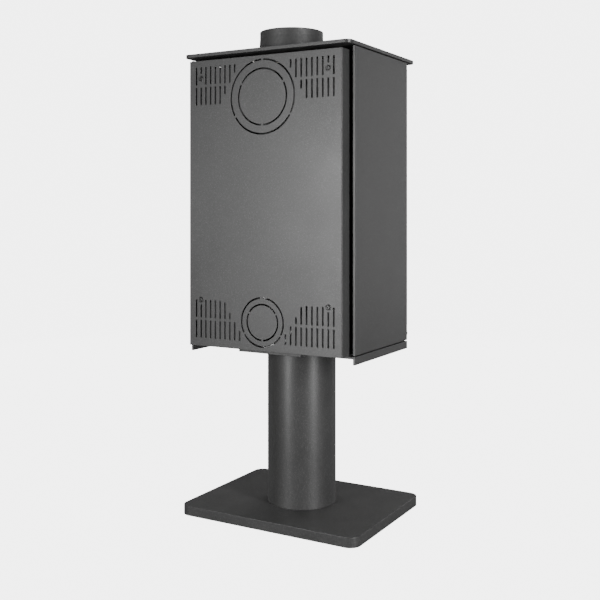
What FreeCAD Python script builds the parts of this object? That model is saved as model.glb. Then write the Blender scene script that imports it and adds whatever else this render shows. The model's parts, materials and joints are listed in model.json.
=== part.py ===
"""Wood burning stove on a round pedestal, as a parametric document.

Frame: millimetres, +Z up.  The origin is on the floor under the axis of the
round column.  The door faces -Y, the back cover and its knock-outs face +Y,
and the door hinges on the -X side.
"""
import FreeCAD, Part
import os
import re
import Sketcher
from FreeCAD import Placement, Rotation, Vector

doc = FreeCAD.newDocument("WoodStove")

# ---------------------------------------------------------------- sizes
# One row per driving size: alias, millimetres (ratios where named so), note.
SIZES = (
    # fasteners and fits
    ("hex_ratio", 1.87, "bolt head corner radius over thread radius"),
    ("head_ratio", 1.2, "bolt head height over thread radius"),
    ("hole_clearance", 0.4, "through holes, radial"),
    ("thread_clearance", 0.05, "bolts in their threads, radial"),
    ("weld_gap", 0.2, "round welded pieces, radial"),
    ("cut_past", 1.0, "cutters past the faces that they cut"),
    # pedestal
    ("foot_height", 2.0, "glide pad under the base"),
    ("foot_radius", 14.0, "glide pad"),
    ("foot_pad_thick", 3.5, "glide pad disc"),
    ("foot_stem_radius", 6.0, "glide pad stem"),
    ("foot_inset", 36.0, "glide pad centre from the base edges"),
    ("base_width", 452.0, "base, along X"),
    ("base_depth", 348.0, "base, along Y"),
    ("base_height", 22.2, "base shell, outside"),
    ("base_wall", 4.0, "base shell wall"),
    ("base_corner", 25.0, "base plan corner radius"),
    ("base_edge", 1.2, "rounding of the base's upper rim"),
    ("ballast_thick", 12.0, "steel ballast inside the base"),
    ("ballast_gap", 4.0, "ballast to the shell's rim"),
    ("column_radius", 80.0, "round column, outside"),
    ("column_wall", 3.0, "round column wall"),
    ("column_height", 361.3, "round column"),
    ("foot_plate_thick", 8.0, "disc welded in the column's lower end"),
    ("base_bolt_inset", 25.0, "base bolts inside the column's bore"),
    ("base_bolt_radius", 5.0, "thread of the base bolts"),
    ("head_plate_thick", 5.0, "plate on the column's upper end"),
    ("head_bolt_inset", 20.0, "head plate bolts inside the plate's side edges"),
    ("head_bolt_out", 26.0, "head plate bolts in front of and behind the column"),
    ("head_bolt_radius", 4.0, "thread of the head plate bolts"),
    # casing
    ("body_width", 424.0, "over the side panels"),
    ("body_front", 131.5, "column axis to the panels' front edges"),
    ("body_back", 146.3, "column axis to the panels' rear edges"),
    ("tray_thick", 5.0, "floor tray plate and skirts"),
    ("skirt_depth", 17.3, "floor tray skirt, with the plate"),
    ("panel_thick", 5.0, "side panels"),
    ("panel_height", 654.0, "side panels"),
    ("panel_gap", 2.5, "shadow gap under the side panels"),
    ("panel_edge", 0.8, "rounding of plate edges"),
    ("top_gap", 2.2, "shadow gap over the side panels"),
    ("top_side_lip", 2.0, "top plate past the side panels"),
    ("top_front_lip", 29.7, "top plate past the door's face"),
    ("top_rear_inset", 0.6, "top plate inside the back cover's face"),
    ("top_thick", 8.0, "top plate"),
    ("top_corner", 14.7, "top plate plan corner radius"),
    # back cover
    ("cover_side_gap", 10.5, "back cover to the side panels"),
    ("cover_top_gap", 9.7, "back cover under the top plate"),
    ("cover_stand", 29.5, "back cover's face behind the side panels"),
    ("cover_lift", 0.5, "back cover over the floor tray"),
    ("cover_sheet", 1.5, "back cover sheet"),
    ("cover_flange", 50.0, "depth of the cover's side flanges"),
    ("cover_bend", 2.5, "outside bend radius of the cover"),
    ("slot_width", 4.0, "convection slots"),
    ("slot_length", 40.0, "a full slot"),
    ("slot_bridge", 6.0, "metal between the two rows of slots"),
    ("slot_pitch", 13.1, "slot to slot"),
    ("slot_side_margin", 19.5, "cover's side edges to the outermost slots"),
    ("slot_top_margin", 14.7, "cover's upper edge to the upper slots"),
    ("slot_low_margin", 18.6, "cover's lower edge to the lower slots"),
    ("screw_slot_top", 14.5, "slot over an upper screw"),
    ("short_slot_top", 18.3, "innermost slot of the upper group's upper row"),
    ("short_slot_mid", 18.8, "innermost slot of the upper group's lower row"),
    ("screw_slot_low", 30.0, "slot under a lower screw"),
    ("seventh_slot_low", 37.0, "seventh slot of the lower group's upper row"),
    ("short_slot_low", 14.3, "innermost slot of the lower group's upper row"),
    ("end_slot_low", 22.0, "innermost slot of the lower group's lower row"),
    ("screw_drop", 40.3, "cover's upper edge to the upper screws"),
    ("screw_rise", 104.8, "cover's lower edge to the lower screws"),
    ("flue_knock_drop", 90.8, "cover's upper edge to the flue knock-out"),
    ("flue_knock_outer", 81.5, "radius of the outer flue ring"),
    ("flue_knock_inner", 61.8, "radius of the inner flue ring"),
    ("air_knock_rise", 62.7, "cover's lower edge to the air knock-out"),
    ("air_knock_outer", 53.7, "radius of the outer air ring"),
    ("air_knock_inner", 39.3, "radius of the inner air ring"),
    ("ring_width", 3.5, "cut width of the knock-out rings"),
    ("ring_bridge", 5.0, "metal left at each of a ring's three bridges"),
    ("cover_screw_head", 5.0, "radius of the cover screw heads"),
    ("cover_screw_rise", 2.6, "height of the cover screw heads"),
    ("cover_screw_radius", 2.5, "thread of the cover screws"),
    ("cover_screw_depth", 12.0, "cover screws in their standoffs"),
    ("screw_dome", 1.82, "rounding of the cover screw heads"),
    ("screw_socket", 1.8, "corner radius of the cover screw sockets"),
    ("screw_socket_depth", 1.56, "cover screw sockets"),
    ("standoff_radius", 7.0, "cover standoffs"),
    ("spacer_radius", 7.0, "side panel and top plate spacers"),
    ("spacer_inset", 80.0, "spacers from the side panels' upper and lower edges"),
    ("spacer_y", 85.0, "spacers in front of and behind the column axis"),
    ("spacer_side", 40.0, "top spacers and feet inside the firebox's side faces"),
    ("firebox_foot", 40.0, "square firebox feet"),
    # firebox
    ("firebox_side_gap", 17.0, "firebox shell to the side panels"),
    ("firebox_set_in", 1.3, "firebox's rear face inside the panels' rear edges"),
    ("firebox_wall", 4.0, "firebox sheet"),
    ("firebox_lift", 4.5, "firebox over the floor tray"),
    ("firebox_drop", 24.2, "firebox's top under the top plate"),
    ("flue_set_in", 1.5, "collar's flange inside the firebox's rear face"),
    ("collar_radius", 73.0, "collar's straight upper land, outside"),
    ("collar_wall", 5.0, "collar wall at the land"),
    ("collar_land", 15.0, "height of the straight land"),
    ("collar_taper", 2.2, "collar wider at the top plate, radial"),
    ("collar_rise", 51.5, "collar over the top plate"),
    ("collar_rim", 10.0, "collar's foot flange past its bolt circle"),
    ("collar_flange_thick", 7.0, "collar's foot flange"),
    ("collar_bolt_out", 10.8, "collar's bolt circle outside the collar"),
    ("collar_clearance", 0.8, "collar in the top plate"),
    ("gasket_thick", 3.0, "flat gaskets"),
    ("gasket_inset", 1.0, "flat gaskets inside the faces that they seal"),
    ("outlet_opening", 60.0, "radius of the rear outlet"),
    ("outlet_rim", 7.5, "blanking plate past its bolt circle"),
    ("outlet_plate_thick", 6.0, "rear outlet's blanking plate"),
    ("outlet_bolt_out", 7.5, "blanking plate's bolt circle outside the outlet"),
    ("spigot_radius", 50.0, "outside air spigot, outside"),
    ("spigot_wall", 2.0, "outside air spigot wall"),
    ("spigot_rim", 11.0, "spigot's flange past the spigot"),
    ("spigot_gap", 8.0, "spigot's end to the back cover"),
    ("shelf_height", 112.0, "firebox floor over the firebox's bottom"),
    ("lining_thick", 25.0, "fire bricks"),
    ("brick_gap", 2.0, "bricks to the front frame"),
    ("jet_radius", 3.0, "air jets in the back brick"),
    ("jet_pitch", 40.25, "jet to jet"),
    ("jet_rise", 202.4, "jets over the hearth plate"),
    ("floor_brick", 25.0, "floor bricks, thickness"),
    ("grate_width", 190.0, "grate, along X"),
    ("grate_depth", 120.0, "grate, along Y"),
    ("grate_thick", 12.0, "grate"),
    ("grate_gap", 1.5, "grate to the floor bricks"),
    ("grate_ledge", 8.0, "hearth plate under the grate, each side"),
    ("grate_slit", 8.0, "grate's slits"),
    ("grate_pitch", 19.0, "slit to slit"),
    ("grate_rim", 14.0, "grate's front and rear rims"),
    ("baffle_drop", 150.0, "lower baffle's underside below the firebox's top"),
    ("baffle_thick", 20.0, "lower baffle"),
    ("baffle_mouth", 70.0, "smoke gap past each baffle"),
    ("upper_baffle_thick", 4.0, "upper baffle"),
    ("upper_baffle_drop", 75.0, "upper baffle below the firebox's top"),
    ("baffle_gap", 1.0, "baffles to the firebox's sides"),
    ("rail_set_back", 6.0, "upper baffle and rails behind the front frame"),
    ("baffle_rail_width", 12.0, "upper baffle rail, along X"),
    ("baffle_rail_height", 8.0, "upper baffle rail"),
    ("pan_side_gap", 30.0, "ash pan to the opening's sides"),
    ("pan_height", 46.0, "ash pan"),
    ("pan_sheet", 1.5, "ash pan sheet"),
    ("pan_sill_gap", 1.0, "ash pan over the opening's sill"),
    ("pan_set_back", 8.0, "ash pan behind the front frame"),
    ("pan_rear_gap", 26.0, "ash pan to the firebox's rear"),
    ("tab_width", 60.0, "ash pan's finger tab"),
    ("tab_reach", 7.0, "ash pan's finger tab"),
    ("tab_thick", 3.0, "ash pan's finger tab"),
    ("rail_lap", 11.0, "ash pan rail under the pan"),
    ("rail_thick", 3.0, "ash pan rail"),
    ("retainer_height", 55.0, "log retainer over the floor bricks"),
    ("retainer_gap", 8.0, "log retainer to the opening's sides"),
    ("retainer_thick", 6.0, "log retainer"),
    ("retainer_rim", 12.0, "log retainer's rim above and below its windows"),
    ("retainer_window", 40.0, "log retainer's windows"),
    ("retainer_pitch", 56.0, "window to window"),
    # front
    ("frame_inset", 13.5, "front frame's face behind the panels' front edges"),
    ("frame_thick", 5.0, "front frame"),
    ("frame_side_gap", 1.5, "front frame to the side panels"),
    ("opening_rim", 21.0, "front frame's rim inside the firebox"),
    ("opening_low", 53.0, "opening's sill over the side panels' lower edge"),
    ("opening_top", 37.0, "opening's lintel under the side panels' upper edge"),
    ("deflector_sheet", 2.0, "air deflector over the opening"),
    ("deflector_depth", 26.0, "air deflector behind the front frame"),
    ("deflector_drop", 16.0, "air deflector's lip"),
    ("door_low", 35.0, "door's lower edge over the side panels' lower edge"),
    ("door_top", 15.0, "door's upper edge under the side panels' upper edge"),
    ("door_inset", 5.0, "door's side edges inside the casing's side faces"),
    ("door_gap", 1.0, "door behind face to the side panels' front edges"),
    ("door_thick", 13.0, "cast door frame"),
    ("door_corner", 3.0, "rounding of the door's upright edges"),
    ("clip_side_gap", 1.2, "glass clips to the seal channel's sides"),
    ("clip_low_gap", 10.2, "glass clips to the seal channel's lower run"),
    ("clip_top_gap", 6.2, "glass clips to the seal channel's upper run"),
    ("window_bevel", 4.0, "bevel round the window's front"),
    ("glass_thick", 4.0, "door glass"),
    ("glass_lap", 10.0, "glass behind the window's rim"),
    ("tape_thick", 2.0, "glass gasket"),
    ("tape_inset", 2.0, "glass gasket outside the window's rim"),
    ("clip_gap", 0.8, "clip feet to the glass's edges"),
    ("clip_foot", 7.0, "clip feet beside the glass"),
    ("clip_lap", 7.0, "clips over the glass"),
    ("clip_thick", 2.0, "clips"),
    ("clip_width", 18.0, "clips, along the glass's edges"),
    ("clip_corner", 60.0, "outermost side clips from the glass's corners"),
    ("clip_from_middle", 70.0, "upper and lower clips off the centre plane"),
    ("clip_screw", 2.0, "radius of the clip screws' threads"),
    ("clip_screw_head", 3.4, "radius of the clip screws' heads"),
    ("clip_screw_rise", 2.0, "clip screws' heads"),
    ("channel_gap", 4.0, "seal channel to the front frame"),
    ("channel_wall", 2.0, "seal channel walls"),
    ("seal_width", 10.0, "door rope seal"),
    ("seal_offset", 11.0, "seal's centre line outside the firebox opening"),
    ("seal_clearance", 0.3, "door rope seal to the front frame"),
    ("pivot_inset", 8.0, "hinge axis inside the door's side edge"),
    ("pin_radius", 4.0, "hinge pins"),
    ("pin_clearance", 0.05, "hinge pins in the door, radial"),
    ("pin_depth", 18.0, "hinge pins in the door"),
    ("pin_end_gap", 0.5, "hinge pins to their holes' ends"),
    ("washer_rim", 2.4, "hinge washer past the pin"),
    ("washer_clearance", 0.2, "hinge washer, radial and under the door"),
    ("bracket_gap", 1.2, "hinge brackets to the door"),
    ("bracket_rim", 1.5, "hinge brackets in front of the pins"),
    ("bracket_thick", 5.0, "hinge brackets"),
    ("bracket_width", 19.0, "hinge brackets, along X"),
    ("bracket_leg", 24.0, "hinge brackets' legs"),
    ("lower_panel_sheet", 2.0, "lower front panel"),
    ("lower_panel_gap", 1.5, "lower front panel under the door"),
    ("notch_clearance", 1.0, "lower front panel round the lower bracket"),
    # handle
    ("handle_inset", 13.0, "handle axis inside the door's side edge"),
    ("shaft_radius", 5.0, "handle shaft"),
    ("shaft_end_radius", 3.0, "threaded end of the handle shaft"),
    ("sleeve_radius", 8.0, "handle's distance sleeve"),
    ("rosette_radius", 11.0, "plate round the handle shaft"),
    ("rosette_thick", 2.0, "plate round the handle shaft"),
    ("sleeve_gap", 0.3, "distance sleeve to the plate"),
    ("grip_hub", 14.0, "hub from the grip's centre towards the door"),
    ("nut_thick", 3.5, "handle nut"),
    ("shaft_step", 0.5, "shaft's thick part behind the door"),
    ("shaft_clearance", 0.05, "handle shaft in the door, radial"),
    ("grip_radius", 9.0, "handle grip"),
    ("grip_length", 150.0, "handle grip"),
    ("grip_over", 16.0, "grip above the handle axis"),
    ("grip_stand", 32.9, "front of the grip before the door's face"),
    ("cam_tail", 5.0, "latch cam behind the handle axis"),
    ("cam_length", 11.0, "latch cam from the handle axis"),
    ("cam_width", 8.0, "latch cam"),
    ("cam_thick", 4.0, "latch cam"),
    ("cam_gap", 1.0, "latch cam to the keeper's lip"),
    ("lip_thick", 2.0, "keeper's lip"),
    ("keeper_half", 16.0, "keeper above and below the handle axis"),
    ("keeper_leg", 3.0, "keeper's legs"),
    ("keeper_gap", 2.3, "keeper's lip to the free cam"),
    # air control
    ("air_knob_inset", 19.0, "air control knob inside the side panels' faces, shut"),
    ("air_knob_rise", 11.0, "knob's centre over the side panels' lower edge"),
    ("air_knob_radius", 5.0, "air control knob"),
    ("knob_stand", 24.5, "knob's end before the door's face"),
    ("air_knob_length", 20.0, "air control knob"),
    ("air_rod_grip", 10.0, "air control rod in the knob"),
    ("air_rod_end_gap", 1.0, "air control rod to the socket's end"),
    ("air_rod_radius", 3.0, "air control rod"),
    ("air_travel", 40.0, "air control travel"),
    ("air_port_pitch", 80.0, "air ports"),
    ("air_port_width", 34.0, "air ports"),
    ("air_port_height", 10.0, "air ports"),
    ("shutter_height", 23.0, "air shutter"),
    ("shutter_thick", 2.0, "air shutter"),
    ("slide_clearance", 0.3, "air shutter in its rails"),
    ("shutter_rail", 4.0, "air shutter rail, web"),
    ("shutter_lap", 2.5, "air shutter rail over the shutter"),
    ("shutter_rail_lip", 2.0, "air shutter rail's lip"),
    ("shutter_rail_gap", 1.0, "air shutter rail to the lower front panel"),
    ("shutter_end", 8.0, "air shutter past its last port"),
    ("air_rod_clearance", 0.6, "air control rod in the lower front panel"),
)

sheet = doc.addObject("Spreadsheet::Sheet", "Sizes")
for row, (alias, value, note) in enumerate(SIZES, 1):
    sheet.set(f"A{row}", note)
    sheet.set(f"B{row}", str(value))
    sheet.setAlias(f"B{row}", alias)
doc.recompute()

ALIASES = {alias for alias, value, note in SIZES}
WORD = re.compile(r"[a-z][a-z_]*")


def sized(text):
    """Turns the places and sizes named in an expression into references to the sheet."""
    return WORD.sub(meaning, text)


def meaning(word):
    """What a word of an expression stands for."""
    if word[0] in PLACES:
        return f"({sized(PLACES[word[0]])})"
    return f"Sizes.{word[0]}" if word[0] in ALIASES else word[0]


def bind(target, prop, text):
    """Binds a property to an expression of sizes."""
    target.setExpression(prop, sized(text))


def minus(text):
    return f"-({text})"


def past(low, high):
    """Extent of a cutter that goes through everything between two places."""
    return f"{low} - cut_past", f"{high} + cut_past"


# ---------------------------------------------------------------- places
# Heights and faces that several sub-parts share, as expressions of the sizes.
PLACES = {
    "base_top": "foot_height + base_height",
    "base_bolt_circle": "column_radius - column_wall - base_bolt_inset",
    "column_top": "base_top + column_height",
    "head_plate_width": "2 * column_radius",
    "head_bolt_x": "column_radius - head_bolt_inset",
    "head_bolt_y": "column_radius + head_bolt_out",
    "tray_low": "column_top + head_plate_thick",
    "floor_top": "tray_low + tray_thick",
    "panel_low": "floor_top + panel_gap",
    "panel_top": "panel_low + panel_height",
    "plate_low": "panel_top + top_gap",
    "plate_top": "plate_low + top_thick",
    "half_body": "body_width / 2",
    "panel_inside": "body_width / 2 - panel_thick",
    "top_width": "body_width + 2 * top_side_lip",
    "top_front": "-door_face + top_front_lip",
    "top_rear": "cover_face - top_rear_inset",
    "cover_width": "2 * (panel_inside - cover_side_gap)",
    "cover_face": "body_back + cover_stand",
    "cover_low": "floor_top + cover_lift",
    "cover_top": "plate_low - cover_top_gap",
    "cover_height": "cover_top - cover_low",
    "slot_first_x": "cover_width / 2 - slot_side_margin",
    "cover_inside": "cover_face - cover_sheet",
    "screw_x": "slot_first_x - slot_pitch",
    "screw_high": "cover_top - screw_drop",
    "screw_low": "cover_low + screw_rise",
    "flue_knock_z": "cover_top - flue_knock_drop",
    "air_knock_z": "cover_low + air_knock_rise",
    "firebox_width": "2 * (panel_inside - firebox_side_gap)",
    "firebox_back": "body_back - firebox_set_in",
    "box_low": "floor_top + firebox_lift",
    "box_top": "plate_low - firebox_drop",
    "box_side": "firebox_width / 2 - firebox_wall",
    "box_rear": "firebox_back - firebox_wall",
    "flue_opening": "collar_radius - collar_wall",
    "collar_root": "collar_radius + collar_taper",
    "collar_bolt_circle": "collar_root + collar_bolt_out",
    "collar_flange": "collar_bolt_circle + collar_rim",
    "flue_y": "firebox_back - collar_flange - flue_set_in",
    "outlet_bolt_circle": "outlet_opening + outlet_bolt_out",
    "outlet_plate_radius": "outlet_bolt_circle + outlet_rim",
    "spigot_flange": "spigot_radius + spigot_rim",
    "frame_face": "body_front - frame_inset",
    "frame_rear": "-frame_face + frame_thick",
    "shelf_top": "box_low + shelf_height",
    "hearth_top": "shelf_top + floor_brick",
    "baffle_low": "box_top - baffle_drop",
    "brick_side": "box_side - lining_thick",
    "brick_rear": "box_rear - lining_thick",
    "opening_width": "2 * (box_side - opening_rim)",
    "pan_width": "opening_width - 2 * pan_side_gap",
    "rail_width": "box_side - pan_width / 2 + rail_lap",
    "opening_sill": "panel_low + opening_low",
    "opening_head": "panel_top - opening_top",
    "door_sill": "panel_low + door_low",
    "door_head": "panel_top - door_top",
    "door_side": "half_body - door_inset",
    "door_rear": "-body_front - door_gap",
    "door_face": "door_rear - door_thick",
    "grip_face": "-door_face + grip_stand",
    "air_knob_face": "-door_face + knob_stand",
    "air_knob_x": "half_body - air_knob_inset",
    "pivot_x": "-door_side + pivot_inset",
    "pivot_y": "door_rear - door_thick / 2",
    "handle_x": "door_side - handle_inset",
    "handle_z": "(door_sill + door_head) / 2",
    "lip_front": "door_rear + cam_gap",
    "cam_front": "lip_front + lip_thick + cam_gap",
    "knob_z": "panel_low + air_knob_rise",
    "window_low": "seal_low + channel_half + clip_low_gap + clip_foot + clip_gap + glass_lap",
    "window_top": "seal_top - channel_half - clip_top_gap - clip_foot - clip_gap - glass_lap",
    "channel_out": "opening_width / 2 + seal_offset + seal_width / 2 + channel_wall",
    "channel_in": "opening_width / 2 + seal_offset - seal_width / 2 - channel_wall",
    "window_width": "2 * (channel_in - clip_side_gap - clip_foot - clip_gap - glass_lap)",
    "channel_depth": "door_gap + frame_inset - channel_gap",
    "rope_out": "opening_width / 2 + seal_offset + seal_width / 2",
    "rope_in": "opening_width / 2 + seal_offset - seal_width / 2",
    "seal_low": "opening_sill - seal_offset",
    "seal_top": "opening_head + seal_offset",
    "channel_half": "seal_width / 2 + channel_wall",
    "ballast_top": "base_top - base_wall",
    "ballast_low": "ballast_top - ballast_thick",
    "clear_bolt": "base_bolt_radius + hole_clearance",
    "grate_y": "(frame_rear + brick_rear) / 2",
    "grate_front": "grate_y - grate_depth / 2",
    "grate_back": "grate_y + grate_depth / 2",
    "brick_front": "frame_rear + brick_gap",
    "pan_low": "opening_sill + pan_sill_gap",
    "pan_rail_top": "pan_low - slide_clearance",
    "pan_front": "frame_rear + pan_set_back",
    "pan_back": "box_rear - pan_rear_gap",
    "rail_start": "frame_rear + rail_set_back",
    "frame_half": "panel_inside - frame_side_gap",
    "bracket_in": "-frame_half + bracket_width",
    "bracket_top": "door_sill - bracket_gap",
    "bracket_low": "bracket_top - bracket_thick",
    "upper_bracket_low": "door_head + bracket_gap",
    "upper_bracket_top": "upper_bracket_low + bracket_thick",
    "shutter_low": "knob_z - shutter_height / 2",
    "shutter_top": "knob_z + shutter_height / 2",
    "shutter_rear": "-frame_face - slide_clearance",
    "shutter_front": "shutter_rear - shutter_thick",
    "rail_front": "shutter_front - slide_clearance - shutter_rail_lip",
}

# ---------------------------------------------------------------- builders
TINY = 0.1  # millimetres within which an edge counts as lying on a face
nodes = []
FACING = {
    "z": Rotation(),
    "y": Rotation(Vector(1, 0, 0), -90),
    "x": Rotation(Vector(0, 1, 0), 90),
}


def node(part, label):
    """Names a finished sub-part, so that it is checked and written."""
    part.Label = label
    nodes.append(part)
    return part


def put(part, place):
    """Binds the three coordinates of a placement."""
    for axis, text in zip("xyz", place):
        bind(part, f"Placement.Base.{axis}", text)
    return part


def block(name, x, y, z):
    """Box between two expressions on each axis."""
    box = doc.addObject("Part::Box", name)
    for side, (low, high) in zip(("Length", "Width", "Height"), (x, y, z)):
        bind(box, side, f"({high}) - ({low})")
    return put(box, (x[0], y[0], z[0]))


def rod(name, radius, length, start, axis="z"):
    """Cylinder from a start point along one axis."""
    bar = doc.addObject("Part::Cylinder", name)
    bar.Placement = Placement(Vector(), FACING[axis])
    bind(bar, "Radius", radius)
    bind(bar, "Height", length)
    return put(bar, start)


def hexagon(name, radius, length, start, axis="z"):
    """Hexagon prism, radius to its corners, from a start point along one axis."""
    prism = doc.addObject("Part::Prism", name)
    prism.Polygon = 6
    prism.Placement = Placement(Vector(), FACING[axis])
    bind(prism, "Circumradius", radius)
    bind(prism, "Height", length)
    return put(prism, start)


def group(name, parts):
    """Separate solids kept together."""
    bundle = doc.addObject("Part::Compound", name)
    bundle.Links = parts
    return bundle


def fuse(name, parts):
    """One solid from touching ones."""
    whole = doc.addObject("Part::MultiFuse", name)
    whole.Shapes = parts
    whole.Refine = True
    return whole


def cut(name, base, tools):
    """Base less one or more tools."""
    result = doc.addObject("Part::Cut", name)
    result.Base = base
    result.Tool = tools[0] if len(tools) == 1 else group(name + "_tools", tools)
    result.Refine = True
    return result


def mirrored(name, source):
    """Copy on the other side of the centre plane."""
    copy = doc.addObject("Part::Mirroring", name)
    copy.Source = source
    copy.Normal = Vector(1, 0, 0)
    return copy


def rounded(name, base, size, chosen, kind="Part::Fillet"):
    """Fillets, or chamfers, the edges of a solid that the test picks."""
    doc.recompute()
    result = doc.addObject(kind, name)
    result.Base = base
    reach = worth(size)
    result.Edges = [(i, reach, reach) for i, e in enumerate(base.Shape.Edges, 1) if chosen(e)]
    return result


def ring_frame(name, out_x, in_x, out_low, in_low, in_top, out_top, y):
    """Rectangular frame, upright, symmetric about the centre plane."""
    outer = block(name + "_outer", (minus(out_x), out_x), y, (out_low, out_top))
    inner = block(name + "_inner", (minus(in_x), in_x), past(*y), (in_low, in_top))
    return cut(name, outer, [inner])


def span(edge, axis):
    """Extent of an edge along one axis."""
    box = edge.BoundBox
    return {"x": box.XLength, "y": box.YLength, "z": box.ZLength}[axis]


def upright(edge):
    """True for an edge that only runs along Z."""
    return span(edge, "z") > 1 and span(edge, "x") < TINY and span(edge, "y") < TINY


# PartDesign bodies: sketches sit on the body's own origin planes.
def new_body(name, place=None):
    made = doc.addObject("PartDesign::Body", name)
    if place:
        put(made, place)
    return made


def sketch_on(body, name, role="XY_Plane", height=None):
    """Sketch on an origin plane, moved along the plane's normal."""
    sketch = body.newObject("Sketcher::SketchObject", name)
    plane = next(f for f in body.Origin.OriginFeatures if f.Role == role)
    sketch.AttachmentSupport = [(plane, "")]
    sketch.MapMode = "FlatFace"
    if height:
        bind(sketch, "AttachmentOffset.Base.z", height)
    return sketch


def outline(sketch, points):
    """Closed outline; each corner is held by its two distances from the axes.

    A corner is (x sign, x size, y sign, y size); a sign of 0 lies on the axis.
    """
    start = sheet_points(points)
    count = len(points)
    lines = [Part.LineSegment(start[i], start[(i + 1) % count]) for i in range(count)]
    first = sketch.GeometryCount
    sketch.addGeometry(lines, False)
    joints = []
    for i in range(count):
        follow = first + (i + 1) % count
        joints.append(Sketcher.Constraint("Coincident", first + i, 2, follow, 1))
    sketch.addConstraint(joints)
    for i, (x_sign, x_size, y_sign, y_size) in enumerate(points):
        hold(sketch, first + i, "X", x_sign, x_size)
        hold(sketch, first + i, "Y", y_sign, y_size)


def hold(sketch, line, axis, sign, size, point=1):
    """Holds a point at a distance from an axis, on the side that sign names."""
    if sign == 0:
        other = -2 if axis == "X" else -1
        sketch.addConstraint(Sketcher.Constraint("PointOnObject", line, point, other))
        return
    ends = (-1, 1, line, point) if sign > 0 else (line, point, -1, 1)
    index = sketch.addConstraint(Sketcher.Constraint("Distance" + axis, *ends, worth(size)))
    sketch.setExpression(f"Constraints[{index}]", sized(size))


def worth(text):
    """Present value of an expression of sizes, read from a trial vertex."""
    trial = doc.getObject("Trial") or doc.addObject("Part::Vertex", "Trial")
    bind(trial, "X", text)
    trial.recompute()
    return trial.X.Value


def sheet_points(points):
    """Present corner positions of an outline."""
    return [Vector(xs * worth(xt), ys * worth(yt), 0) for xs, xt, ys, yt in points]


def circle(sketch, radius, x=(0, "0"), y=(0, "0")):
    """Circle whose radius and centre follow the sheet."""
    centre = Vector(x[0] * worth(x[1]), y[0] * worth(y[1]), 0)
    round_edge = Part.Circle(centre, Vector(0, 0, 1), worth(radius))
    index = sketch.addGeometry(round_edge, False)
    hold(sketch, index, "X", x[0], x[1], 3)
    hold(sketch, index, "Y", y[0], y[1], 3)
    size = sketch.addConstraint(Sketcher.Constraint("Radius", index, worth(radius)))
    sketch.setExpression(f"Constraints[{size}]", sized(radius))


def pad(body, name, sketch, length):
    made = body.newObject("PartDesign::Pad", name)
    made.Profile = sketch
    bind(made, "Length", length)
    sketch.Visibility = False
    return made


def pocket(body, name, sketch, depth, upwards=False):
    """Removes metal under the sketch, or above it when upwards is true."""
    made = body.newObject("PartDesign::Pocket", name)
    made.Profile = sketch
    bind(made, "Length", depth)
    made.Reversed = upwards
    return made


def revolve(body, name, sketch):
    """Full turn about the sketch's vertical axis."""
    made = body.newObject("PartDesign::Revolution", name)
    made.Profile = sketch
    made.ReferenceAxis = (sketch, ["V_Axis"])
    made.Angle = 360
    return made


def soften(body, name, radius, chosen):
    """PartDesign fillet on the edges that the test picks."""
    doc.recompute()
    base = body.Tip
    picked = [f"Edge{i}" for i, e in enumerate(base.Shape.Edges, 1) if chosen(e)]
    made = body.newObject("PartDesign::Fillet", name)
    made.Base = (base, picked)
    bind(made, "Radius", radius)
    return made


def around(body, name, feature, count):
    """Polar pattern of a feature about the body's own Z axis."""
    doc.recompute()
    made = body.newObject("PartDesign::PolarPattern", name)
    made.Originals = [feature]
    axis = next(f for f in body.Origin.OriginFeatures if f.Role == "Z_Axis")
    made.Axis = (axis, [""])
    made.Angle = 360
    made.Occurrences = count
    body.Tip = made
    return made


def bolt(name, thread, length, start, axis="z", head_first=True):
    """Hexagon bolt along an axis; the head comes first or last on the way."""
    rise = f"({thread} * head_ratio)"
    lengthwise = "xyz".index(axis)
    head_at, shank_at = list(start), list(start)
    moved = shank_at if head_first else head_at
    moved[lengthwise] = f"{start[lengthwise]} + " + (rise if head_first else f"({length})")
    head = hexagon(name + "_head", f"{thread} * hex_ratio", rise, head_at, axis)
    shank = rod(name + "_shank", thread, length, shank_at, axis)
    return fuse(name, [head, shank])


def around_place(middle, width):
    """Extent of a given width about a place."""
    return f"{middle} - {width} / 2", f"{middle} + {width} / 2"


def signs(x, y):
    """The four places (+-x, +-y)."""
    return [(x, y), (minus(x), y), (x, minus(y)), (minus(x), minus(y))]


# ---------------------------------------------------------------- pedestal


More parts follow.
